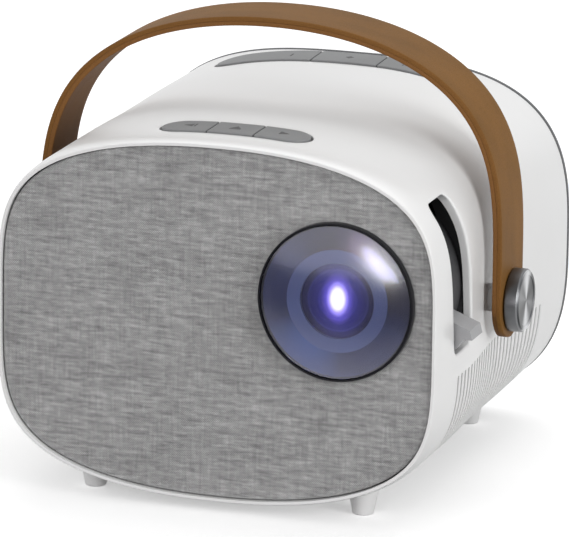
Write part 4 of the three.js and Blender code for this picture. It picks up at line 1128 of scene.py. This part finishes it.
    def paint_inside(self, shell):
        """Every face that lies under the skin and turns inwards takes the darker grey, painted shade for
        the inside of the shell.
        """
        for face in shell.data.polygons:
            x, y, z = face.center / MM
            z -= AXIS_HEIGHT
            if y < LEDGE_FRONT or y > REAR_RIM - 0.2:
                continue
            w, h, p, q = skin(y)
            deep = (abs(x) / (w - 1.9)) ** p + (abs(z) / (h - 1.9)) ** q
            if deep < 1:
                face.material_index = 1


def rounded_bar(length, half, corner, grow, ends=9, between=20):
    """Along and half width of a bar with rounded corners."""
    size = corner + grow
    first = []
    for t in quarter(ends):
        first.append((-grow + size * (1 - math.cos(t)), half + grow - size * (1 - math.sin(t))))
    middle = [(mixed(corner, length - corner, i / between), half + grow) for i in range(1, between)]
    last = [(length - a, w) for a, w in reversed(first)]
    return first + middle + last


class PROJECTOR_OT_front(bpy.types.Operator):
    """Makes the cloth front"""
    bl_idname = "projector.front"
    bl_label = "Cloth front"

    def execute(self, context):
        outline = self.outline()
        hole = np.stack([
            LENS_X + (NECK_RADIUS + FIT) * np.cos(self.turns), np.zeros(SIDES),
            LENS_Z + (NECK_RADIUS + FIT) * np.sin(self.turns)], 1)
        rings = []
        soft = 0.55
        for share in np.linspace(0, 1, 40)[:-1]:
            ring = hole + (outline(-soft) - hole) * share
            ring[:, 1] = FACE
            rings.append(ring)
        for t in quarter(6):
            ring = outline(-soft + soft * math.sin(t))
            ring[:, 1] = FACE + soft * (1 - math.cos(t))
            rings.append(ring)
        back = outline(0)
        back[:, 1] = FACE + CLOTH_THICK
        rings.append(back)
        rings.append(hole + [0, FACE + CLOTH_THICK, 0])
        shape = loft(rings, looped=True)
        cloth = show("front_cloth", shape, linen, "housing", "cloth_grey", "front_fabric")
        return {"FINISHED"}

    def area(self, cloth):
        return sum(f.area for f in cloth.data.polygons if f.normal.y < -0.3)

    def outline(self):
        """The panel's edge, found along even directions from the lens."""
        self.turns = full_turn(SIDES)

        def grown(extra):
            w, h = PANEL_W + extra, PANEL_H + extra
            low, high = np.zeros(SIDES), np.full(SIDES, 160.0)
            for _ in range(46):
                r = (low + high) / 2
                x = LENS_X + r * np.cos(self.turns)
                z = LENS_Z + r * np.sin(self.turns)
                inside = (abs(x) / w) ** PANEL_BOWS[0] + (abs(z) / h) ** PANEL_BOWS[1] < 1
                low, high = np.where(inside, r, low), np.where(inside, high, r)
            return np.stack([LENS_X + low * np.cos(self.turns), np.zeros(SIDES),
                             LENS_Z + low * np.sin(self.turns)], 1)
        return grown


class PROJECTOR_OT_lens(bpy.types.Operator):
    """Makes the lens rim with its stepped bezel, the front glass and the inner lens"""
    bl_idname = "projector.lens"
    bl_label = "Lens"

    def execute(self, context):
        centre = (LENS_X, 0, LENS_Z)
        back = FACE - FIT
        seat = GLASS_RADIUS + FIT
        profile = rounded([
            (BEZEL_HOLE, BEZEL_FRONT, 0.15), (BEZEL_STEP, BEZEL_FRONT, 0.1),
            (NECK_INNER, GLASS_BACK + FIT, 0.1), (seat, GLASS_BACK + FIT, 0),
            (seat, RIM_FRONT, 0.12), (RIM_RADIUS, RIM_FRONT, 0.4),
            (RIM_RADIUS, back, 0.2), (NECK_RADIUS, back, 0), (NECK_RADIUS, NECK_BACK, 0.2),
            (NECK_INNER, NECK_BACK, 0.2), (NECK_INNER, BEZEL_BACK, 0), (BEZEL_HOLE, BEZEL_BACK, 0.1),
        ], 0.2)
        rim = turned(profile, "y", centre, 160, looped=True)
        show("lens_bezel", rim, gloss_black, "housing", "black_plastic", "lens_rim", sharp=28)

        front = self.dome(GLASS_RADIUS, GLASS_EDGE, GLASS_EDGE - DOME)
        flat = [(GLASS_RADIUS * share, GLASS_BACK) for share in (1, 0.7, 0.4, 0)]
        glass = turned(front + flat, "y", centre, 160)
        show("front_lens", glass, coated_glass, "housing", "lens_glass", "front_glass")

        crown = 0.8
        front = self.dome(PUPIL_RADIUS, PUPIL_FRONT, crown)
        rear = [(r, 2 * (PUPIL_FRONT + PUPIL_THICK) - a) for r, a in
                self.dome(PUPIL_RADIUS, PUPIL_FRONT + PUPIL_THICK, PUPIL_BULGE)]
        pupil = turned(front + rear[::-1], "y", centre, 120)
        show("inner_lens", pupil, pupil_coating, "housing", "lens_glass", "pupil_glass")
        return {"FINISHED"}

    def dome(self, radius, edge, bulge, steps=28):
        """A lens face from its middle to its rim, swelling forwards."""
        profile = []
        for t in quarter(steps):
            r = radius * math.sin(t)
            profile.append((r, edge - bulge * (1 - (r / radius) ** 2)))
        return profile


class PROJECTOR_OT_strap(bpy.types.Operator):
    """Makes the two leather layers of the carrying strap"""
    bl_idname = "projector.strap"
    bl_label = "Strap"

    def execute(self, context):
        outer = self.layer("strap_leather", (0, 0.5), (STRAP_JOINT - 0.02, 0.1), tan_leather)
        inner = self.layer("strap_lining", (STRAP_JOINT + 0.02, 0.1), (STRAP_THICK, 0.4), brown_leather)
        dress(outer, "handle", "strap_tan", "strap_outer")
        dress(inner, "handle", "strap_brown", "strap_inner")
        return {"FINISHED"}

    def path(self, steps=150):
        """Evenly spaced points and inward normals from the right pivot over to the left."""
        half = [(STRAP_HALF, z) for z in np.linspace(-STRAP_WIDTH / 2, STRAP_STRAIGHT, 24)[:-1]]
        for t in quarter(400):
            x = STRAP_HALF * math.cos(t) ** (2 / STRAP_BOWS[0])
            z = STRAP_STRAIGHT + (STRAP_TOP - STRAP_STRAIGHT) * math.sin(t) ** (2 / STRAP_BOWS[1])
            half.append((x, z))
        whole = np.array(half + [(-x, z) for x, z in reversed(half[:-1])])
        run = np.concatenate([[0], np.cumsum(np.linalg.norm(np.diff(whole, axis=0), axis=1))])
        ends = STRAP_WIDTH / 2
        turn = [ends * (1 - math.cos(t)) for t in quarter(14)]
        between = np.linspace(ends, run[-1] - ends, steps)
        at = np.array(turn[:-1] + list(between) + [run[-1] - a for a in reversed(turn[:-1])])

        def along(where):
            return np.stack([np.interp(where, run, line) for line in whole.T], 1)

        spots = along(at)
        way = along(np.minimum(at + 0.6, run[-1])) - along(np.maximum(at - 0.6, 0))
        way /= np.linalg.norm(way, axis=1)[:, None]
        inward = np.stack([-way[:, 1], way[:, 0]], 1)
        from_end = np.minimum(np.minimum(at, run[-1] - at), ends)
        wide = np.sqrt(np.maximum(ends ** 2 - (ends - from_end) ** 2, 1e-4))
        return spots, inward, wide

    def layer(self, name, over, under, maker):
        """One layer between two depths, each with the rounding of its corners."""
        spots, inward, wide = self.path()
        rings, across = [], []
        (top, soft), (under, firm) = over, under
        for (x, z), (nx, nz), w in zip(spots, inward, wide):
            edge, hard = min(soft, 0.45 * w), min(firm, 0.45 * w)
            corners = [(-w, top, edge), (w, top, edge), (w, under, hard), (-w, under, hard)]
            section = rounded(corners, edge, 5)
            rows = np.linspace(-1, 1, 9)[1:-1]
            flat_top = [(r * (w - edge), top) for r in rows]
            flat_under = [(r * (w - edge), under) for r in rows[::-1]]
            first, second, third, fourth = section[0:5], section[5:10], section[10:15], section[15:20]
            line = np.concatenate([first, flat_top, second, third, flat_under, fourth])
            rings.append(np.stack([x + nx * line[:, 1], STRAP_Y + line[:, 0], z + nz * line[:, 1]], 1))
            across.append(line[:, 0] / (STRAP_WIDTH / 2))
        points, faces = loft(rings)
        piece = build(name, points, faces, maker, {"across": np.concatenate(across)})
        hole = SHANK_RADIUS + FIT
        cuts = [cutter(f"eyelet{h}", rod(hole, h * 60, h * 68, "x", (0, STRAP_Y, 0), 40), maker)
                for h in (1, -1)]
        return carve(piece, cuts)


class PROJECTOR_OT_knobs(bpy.types.Operator):
    """Makes the two thumb screws and the spacers that the strap turns on"""
    bl_idname = "projector.knobs"
    bl_label = "Thumb screws"

    def execute(self, context):
        inner = STRAP_HALF - STRAP_THICK - FIT
        for hand, name in ((1, "right"), (-1, "left")):
            profile = rounded([
                (0, SHANK_END, 0), (SHANK_RADIUS, SHANK_END, 0.3), (SHANK_RADIUS, HEAD_BACK, 0),
                (HEAD_RADIUS, HEAD_BACK, 0.35), (HEAD_RADIUS, HEAD_FACE - HEAD_BEVEL, 0.15),
                (HEAD_RADIUS - HEAD_BEVEL, HEAD_FACE, 0.2), (DISH_OUTER, HEAD_FACE, 0.08),
                (DISH_INNER, HEAD_FACE - DISH_DEPTH, 0.08), (0, HEAD_FACE - DISH_DEPTH, 0),
            ], 0.2)
            shape = turned([(r, hand * a) for r, a in profile], "x", (0, STRAP_Y, 0), 128)
            show(f"thumb_screw_{name}", shape, turned_metal, "housing", "bare_metal",
                 f"pivot_screw_{name}", sharp=24)
            start = skin_x(STRAP_Y, BUSH_RADIUS) + 0.15
            spacer = rounded([
                (SHANK_RADIUS + FIT, start), (BUSH_RADIUS, start), (BUSH_RADIUS, inner),
                (SHANK_RADIUS + FIT, inner)], 0.2)
            shape = turned([(r, hand * a) for r, a in spacer], "x", (0, STRAP_Y, 0), 72, looped=True)
            show(f"spacer_{name}", shape, shell_white, "housing", "shell_white", f"pivot_bush_{name}")
        return {"FINISHED"}


class PROJECTOR_OT_keys(bpy.types.Operator):
    """Makes the six keys with their printed marks"""
    bl_idname = "projector.keys"
    bl_label = "Keys"

    def execute(self, context):
        for strip, name in ((FRONT_KEYS, "front"), (REAR_KEYS, "rear")):
            for index, side in enumerate(("left", "middle", "right")):
                node = f"{name}_key_{side}"
                body = f"{node}_body"
                show(f"{name}_cap_{side}", self.key(strip, index), key_grey, body, "key_grey", node)
                show(f"{name}_mark_{side}", self.mark(strip, index), key_mark, body, "key_grey")
        return {"FINISHED"}

    def key(self, strip, index):
        """A cap that follows the skin, its flange under the wall and its stem, in one skin."""
        whole = key_ring(strip, index, -FIT)
        wide = key_ring(strip, index, KEY_FLANGE)
        wide[:, 0] = np.clip(wide[:, 0], whole[:, 0].min() - FIT - KEY_FLANGE * (index == 0),
                             whole[:, 0].max() + FIT + KEY_FLANGE * (index == 2))
        wide[:, 1] = np.minimum(wide[:, 1], REAR_RIM + FIT + TRIM_THICK + FIT - SKIRT - FIT)
        middle = np.array([strip["place"] * (index - 1), key_middle(strip, strip["place"] * (index - 1))])
        soft = 0.3

        def level(flat, shrink, deep):
            away = flat - middle
            size = np.linalg.norm(away, axis=1)[:, None]
            spots = middle + away * (1 - shrink / size)
            return np.array([(x, y, skin_z(x, y) - deep) for x, y in spots])

        stem = middle + KEY_STEM * (whole - middle) / np.linalg.norm(whole - middle, axis=1)[:, None]
        rings = [level(*row) for row in (
            (stem, 0.05, KEY_UNDER + STEM_END), (stem, 0, KEY_UNDER + STEM_SHOULDER),
            (stem, 0, KEY_UNDER), (wide, 0, KEY_UNDER), (wide, 0, KEY_FLANGE_TOP),
            (whole, 0, KEY_FLANGE_TOP))]
        rings[0][:, 2] = rings[0][:, 2].mean()
        rings[1][:, 2] = rings[0][:, 2] + 0.1
        for t in quarter(5):
            rings.append(level(whole, soft * (1 - math.cos(t)), -KEY_PROUD + soft * (1 - math.sin(t))))
        last = rings[-1][:, :2]
        for share in (0.8, 0.6, 0.4, 0.2, 0.05):
            spots = middle + (last - middle) * share
            rings.append(np.array([(x, y, skin_z(x, y) + KEY_PROUD) for x, y in spots]))
        return loft(rings)

    def mark(self, strip, index):
        """A small generic sign, printed a hair proud of the key."""
        x0 = strip["place"] * (index - 1)
        y0 = key_middle(strip, x0) + (0.4 if strip is FRONT_KEYS else 0)
        size = 1.6 if strip is FRONT_KEYS else 1.5
        arrow = [(-1, 0), (0.7, -0.9), (0.7, 0.9)]
        bar = [(0.95, -0.9), (1.25, -0.9), (1.25, 0.9), (0.95, 0.9)]
        up = [(-1, -0.7), (1, -0.7), (0, 0.9)]
        base = [(-1, -1.15), (1, -1.15), (1, -0.9), (-1, -0.9)]
        forward = [(-x, y) for x, y in arrow][::-1]
        shapes = ([arrow, bar], [up, base], [forward])[index] if strip is FRONT_KEYS else (
            [bar], [[(-0.8, 0), (0, -0.8), (0.8, 0), (0, 0.8)]],
            [forward, [(-x, y) for x, y in bar][::-1]])[index]
        made = []
        for shape in shapes:
            spots = rounded([(x0 + x * size, y0 + y * size) for x, y in shape], 0.12, 3)
            bottom = [(x, y, skin_z(x, y) + KEY_PROUD - 0.05) for x, y in spots]
            top = [(x, y, skin_z(x, y) + KEY_PROUD + 0.03) for x, y in spots]
            made.append(loft([np.array(bottom), np.array(top)]))
        return merged(*made)


class PROJECTOR_OT_feet(bpy.types.Operator):
    """Makes the four tapered feet"""
    bl_idname = "projector.feet"
    bl_label = "Feet"

    def execute(self, context):
        low = -AXIS_HEIGHT
        tip, wide, peg = FOOT_RADII
        flare, top, end = (low + level for level in FOOT_LEVELS)
        profile = rounded([
            (0, low, 0), (tip, low, 0.45), (wide, flare, 0.3), (wide, top, 0),
            (peg, top, 0), (peg, end, 0.3), (0, end, 0),
        ], 0.3)
        one = turned(profile, "z", (-FOOT_X, FOOT_FRONT, 0), 64)
        four = in_rows(one, shell_white, 2, (2 * FOOT_X, 0, 0), 2, (0, FOOT_REAR - FOOT_FRONT, 0))
        nodes = [f"foot_{end}_{side}" for end in ("front", "rear") for side in ("left", "right")]
        show("feet", four, shell_white, "housing", "shell_white", *nodes)
        return {"FINISHED"}


class PROJECTOR_OT_rear(bpy.types.Operator):
    """Makes the rear cover, its edge band and its screws"""
    bl_idname = "projector.rear"
    bl_label = "Rear cover"

    def execute(self, context):
        front = REAR_RIM + FIT
        back = front + TRIM_THICK

        def ring(y, inset):
            return bow_ring(y, REAR_W - inset, REAR_H - inset, REAR_BOW, REAR_BOW)

        soft = 0.25
        rings = [ring(front, WALL), ring(front, soft - TRIM_STAND)]
        for t in quarter(4):
            rings.append(ring(front + soft * (1 - math.cos(t)), soft - TRIM_STAND - soft * math.sin(t)))
        for t in quarter(4):
            rings.append(ring(back - soft * (1 - math.sin(t)), soft - TRIM_STAND - soft * math.cos(t)))
        rings.append(ring(back, WALL))
        show("edge_band", loft(rings, looped=True), seam_grey, "housing", "seam_grey", "rear_trim")

        start = back + FIT
        inner = WALL + 2 * FIT
        rings = [ring(REAR_FACE - PLATE, inner + SKIRT_THICK), ring(start - SKIRT, inner + SKIRT_THICK),
                 ring(start - SKIRT, inner), ring(start, inner)]
        for t in quarter(30):
            depth = math.sin(t)
            inset = 1 - max(math.cos(t), 0) ** 0.5
            rings.append(ring(mixed(start, REAR_FACE, depth), mixed(EDGE_INSET, FACE_INSET, inset)))
        for share in (0.75, 0.5, 0.25):
            rings.append(ring(REAR_FACE, FACE_INSET) * (share, 1, share))
        cover = build("rear_cover_skin", *loft(rings), shell_white)
        carve(cover, self.cutters())
        dress(cover, "housing", "shell_white", "rear_cover")
        self.screws()
        self.sockets()
        return {"FINISHED"}

    def screws(self):
        """One screw with a cross recess, set at the four corners."""
        seat = REAR_FACE - SCREW_SEAT
        point = seat - SCREW_LENGTH
        profile = rounded([
            (0, point, 0), (0.5, point, 0), (1.3, point + 1.5, 0.2), (1.3, seat, 0),
            (SCREW_HEAD, seat, 0.1), (SCREW_HEAD, seat + 0.75, 0.5), (1.2, seat + 1.1, 0.4),
            (0, seat + 1.1, 0),
        ], 0.1)
        at = (-SCREW_X, 0, -SCREW_Z)
        one = build("one screw", *turned(profile, "y", at, 48), plain_metal)
        bars = []
        for wide, tall in ((2.5, 0.54), (0.54, 2.5)):
            rings = [oblong(at[0], y, at[2], wide * share, tall * share)
                     for y, share in ((seat + 0.25, 0.55), (seat + 2, 1))]
            bars.append(cutter("recess", loft(rings), plain_metal))
        carve(one, bars)
        four = in_rows(shape_of(one), plain_metal, 2, (2 * SCREW_X, 0, 0), 2, (0, 0, 2 * SCREW_Z))
        nodes = [f"cover_screw_{i}" for i in (1, 2, 3, 4)]
        show("cover_screws", four, plain_metal, "housing", "bare_metal", *nodes)

    def sockets(self):
        """The contacts, sleeves and eye that show in the sockets."""
        face = REAR_FACE - FIT
        for name, x, (wide, tall), count, pitch in (
                ("hdmi", HDMI_X, HDMI_SIZE, 10, 0.9), ("usb", USB_X, USB_SIZE, 4, 2.2)):
            under = PORT_Z + tall / 2 - 1.5
            first = x - pitch * (count - 1) / 2
            ends = [oblong(first, y, under - 0.06, pitch * 0.5, 0.12) for y in (face - 8, face - 1.2)]
            one = loft(ends)
            row = in_rows(one, contact_gold, count, (pitch, 0, 0))
            show(f"{name}_contacts", row, contact_gold, "housing", "bare_metal")
        for name, x, bore in (("audio", JACK_X, 1.8), ("power", DC_X, 2.8)):
            thin, wide, foot, end = bore - 0.35, bore - 0.02, face - 9, face + 0.05
            profile = rounded([(thin, foot), (wide, foot), (wide, end), (thin, end)], 0.12)
            sleeve = turned(profile, "y", (x, 0, PORT_Z), 48, looped=True)
            show(f"{name}_sleeve", sleeve, plain_metal, "housing", "bare_metal")
        thick, foot, end = 0.85, face - 9.9, face - 1.2
        pin = rounded([(0, foot, 0), (thick, foot, 0), (thick, end, 0.5), (0, end, 0)], 0.3)
        pin = turned(pin, "y", (DC_X, 0, PORT_Z), 32)
        show("power_pin", pin, plain_metal, "housing", "bare_metal")
        profile = [(0, REAR_FACE - 3), (EYE_RADIUS, REAR_FACE - 3)]
        for t in np.linspace(math.pi / 2, 0, 14):
            profile.append((EYE_RADIUS * math.sin(t), REAR_FACE - 0.9 + 0.7 * math.cos(t)))
        eye = turned(profile, "y", (0, 0, EYE_Z), 64)
        show("remote_window", eye, eye_window, "housing", "lens_glass", "remote_eye")

    def cutters(self):
        made = []

        def back_mouth(spine, edge=0.35, depth=7):
            def onto(along, across, down):
                return (along, REAR_FACE - down, across)
            return mouth(spine, onto, edge, depth, out=2)

        first = LENS_Z - (REAR_VENT_COUNT - 1) / 2 * REAR_VENT_PITCH

        def slot(grow):
            return [(LENS_X - REAR_VENT_HALF + a, first, w)
                    for a, w in stadium(2 * REAR_VENT_HALF, REAR_VENT_SLOT / 2, grow, ends=6, between=6)]
        vents = in_rows(back_mouth(slot, edge=0.2), shell_white, REAR_VENT_COUNT, (0, 0, REAR_VENT_PITCH))
        made.append(cutter("rear vents", vents))
        others = []
        for x, (wide, tall) in ((HDMI_X, HDMI_SIZE), (USB_X, USB_SIZE)):
            def port(grow, x=x, wide=wide, tall=tall):
                edge = rounded_bar(wide + 2 * FIT, tall / 2 + FIT, 0.8, grow, ends=6, between=6)
                return [(x - wide / 2 - FIT + a, PORT_Z, w) for a, w in edge]
            others.append(back_mouth(port))

        def round_hole(x, z, radius, ends):
            def circle(grow):
                return [(x - radius + a, z, w) for a, w in stadium(2 * radius, radius, grow, ends, 1)]
            return circle

        rounds = ((JACK_X, PORT_Z, JACK_RADIUS), (DC_X, PORT_Z, DC_RADIUS), (0, EYE_Z, EYE_RADIUS))
        for x, z, radius in rounds:
            others.append(back_mouth(round_hole(x, z, radius + FIT, 24), edge=0.25))
        for x in (-SCREW_X, SCREW_X):
            for z in (-SCREW_Z, SCREW_Z):
                others.append(back_mouth(round_hole(x, z, SCREW_WELL, 20), edge=0.2, depth=WELL_DEPTH))
        made.append(cutter("ports", merged(*others)))
        return made


class PROJECTOR_OT_inside(bpy.types.Operator):
    """Gives the CAD pieces that stay in view their finishes"""
    bl_idname = "projector.inside"
    bl_label = "Inner pieces"

    looks = {
        black_moulding: ["front_baffle", "lens_holder", "focus_ring", "lens_barrel", "optics_tray",
                         "optics_lid", "fan_frame", "fan_rotor"],
        socket_black: ["audio_socket", "power_socket"],
        clear_sheet: ["barrel_front_lens", "barrel_rear_lens", "fresnel_front", "fresnel_rear",
                      "lcd_panel", "heat_glass", "condenser_lens"],
        plain_metal: ["follower_pin", "heat_sink", "speaker_frame", "hdmi_socket", "usb_socket"],
        mirror_bright: ["reflector_cup"],
        brass: ["tripod_bush"],
        board_green: ["main_board", "front_key_board", "rear_key_board", "led_board"],
        lamp_yellow: ["led_chip"],
        cone_paper: ["speaker_cone"],
        lever_grey: ["focus_lever"],
    }

    def shade(self):
        """A thin dark band about the focus ring and a dark plate inside the shell at the slot's rear end:
        painted shade, dark grey sheets set where the slot shows only shade inside.
        """
        inner, outer = SHADE_RADII
        front, back = SLOT_FRONT - 1.5, SLOT_REAR - 1.2
        rings = []
        for angle in np.linspace(*np.radians(SHADE_TURN), 60):
            c, d = math.cos(angle), math.sin(angle)
            section = ((inner, front), (outer, front), (outer, back), (inner, back))
            rings.append(np.array([(LENS_X + r * c, y, LENS_Z + r * d) for r, y in section]))
        show("slot_painted_shade", loft(rings), painted_shade_grey, "focus", "black_plastic")
        # The plate at the slot's rear end, also painted shade
        rings = []
        for y in (SLOT_REAR - 0.9, SLOT_REAR - 0.2):
            heights = np.linspace(SLOT_FOOT - 3, SLOT_TOP + 3, 40)
            outer = [(skin_x(y, z) - WALL - 0.35, y, z) for z in heights]
            inner = [(x - 5.4, y, z) for x, y, z in reversed(outer)]
            rings.append(np.array(outer + inner))
        show("slot_painted_shade_plate", loft(rings), painted_shade_grey, "housing", "black_plastic")

    def execute(self, context):
        self.shade()
        for maker, names in self.looks.items():
            for name in names:
                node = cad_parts[name]
                for held in node.material_slots:
                    held.material = finish(maker)
        return {"FINISHED"}


def colour_setting(name, what, default):
    return bpy.props.IntVectorProperty(
        name=name, description=f"Colour of the {what}, sRGB", default=default, size=3, min=0, max=255)


def power_setting(name, what, default):
    return bpy.props.FloatProperty(
        name=name, description=f"Power of the {what}", default=default, min=0, unit="POWER")


def level_setting(name, what, default, **limits):
    return bpy.props.FloatProperty(name=name, description=what, default=default, min=0, **limits)


class ProjectorSettings(bpy.types.PropertyGroup):
    """Colours, sRGB from 0 to 255, and light levels"""
    shell_tone: colour_setting("Shell", "white moulding", (243, 243, 243))
    strap_tone: colour_setting("Strap", "tan leather", (129, 91, 45))
    lining_tone: colour_setting("Strap lining", "inner leather", (108, 74, 40))
    surround: level_setting("Surround", "Strength of the white surround as light", 0.43)
    key_power: power_setting("Overhead", "overhead softbox", 4.5)
    front_power: power_setting("Front", "front softbox", 5.5)
    left_power: power_setting("Left", "left softbox", 2)
    right_power: power_setting("Right", "right softbox", 6.8)
    lens_power: power_setting("Lens", "small softbox seen in the lens", 1)
    front_gloss: level_setting("Front gloss", "Strength of the surround behind the camera in reflections",
                               0.15, max=1)
    # Strength of the glow painted on the inner lens in place of the lamp's image
    painted_lamp_glow: level_setting("Lamp glow", "Strength of the lamp's image in the inner lens", 1.6)
    floor_lift: level_setting("Floor", "White added to the floor as the camera sees it", 0.4)
    floor_bounce: level_setting("Floor bounce", "Lightness of the floor as it lights the object",
                                0.12, max=1)


STEPS = (
    PROJECTOR_OT_stage, PROJECTOR_OT_shell, PROJECTOR_OT_front, PROJECTOR_OT_lens, PROJECTOR_OT_strap,
    PROJECTOR_OT_knobs, PROJECTOR_OT_keys, PROJECTOR_OT_feet, PROJECTOR_OT_rear, PROJECTOR_OT_inside,
)


class PROJECTOR_PT_panel(bpy.types.Panel):
    """Lists the build steps and the settings"""
    bl_label = "Mini Projector"
    bl_space_type = "VIEW_3D"
    bl_region_type = "UI"
    bl_category = "Projector"

    def draw(self, context):
        for step in STEPS:
            self.layout.operator(step.bl_idname)
        for name in ProjectorSettings.__annotations__:
            self.layout.prop(context.scene.projector, name)


CLASSES = (ProjectorSettings,) + STEPS + (PROJECTOR_PT_panel,)


def register():
    for one in CLASSES:
        bpy.utils.register_class(one)
    bpy.types.Scene.projector = bpy.props.PointerProperty(type=ProjectorSettings)


def unregister():
    del bpy.types.Scene.projector
    for one in reversed(CLASSES):
        bpy.utils.unregister_class(one)


def main():
    register()
    bpy.context.scene.view_settings.view_transform = "Standard"
    for step in STEPS:
        area, name = step.bl_idname.split(".")
        getattr(getattr(bpy.ops, area), name)()


if __name__ == "__main__":
    main()
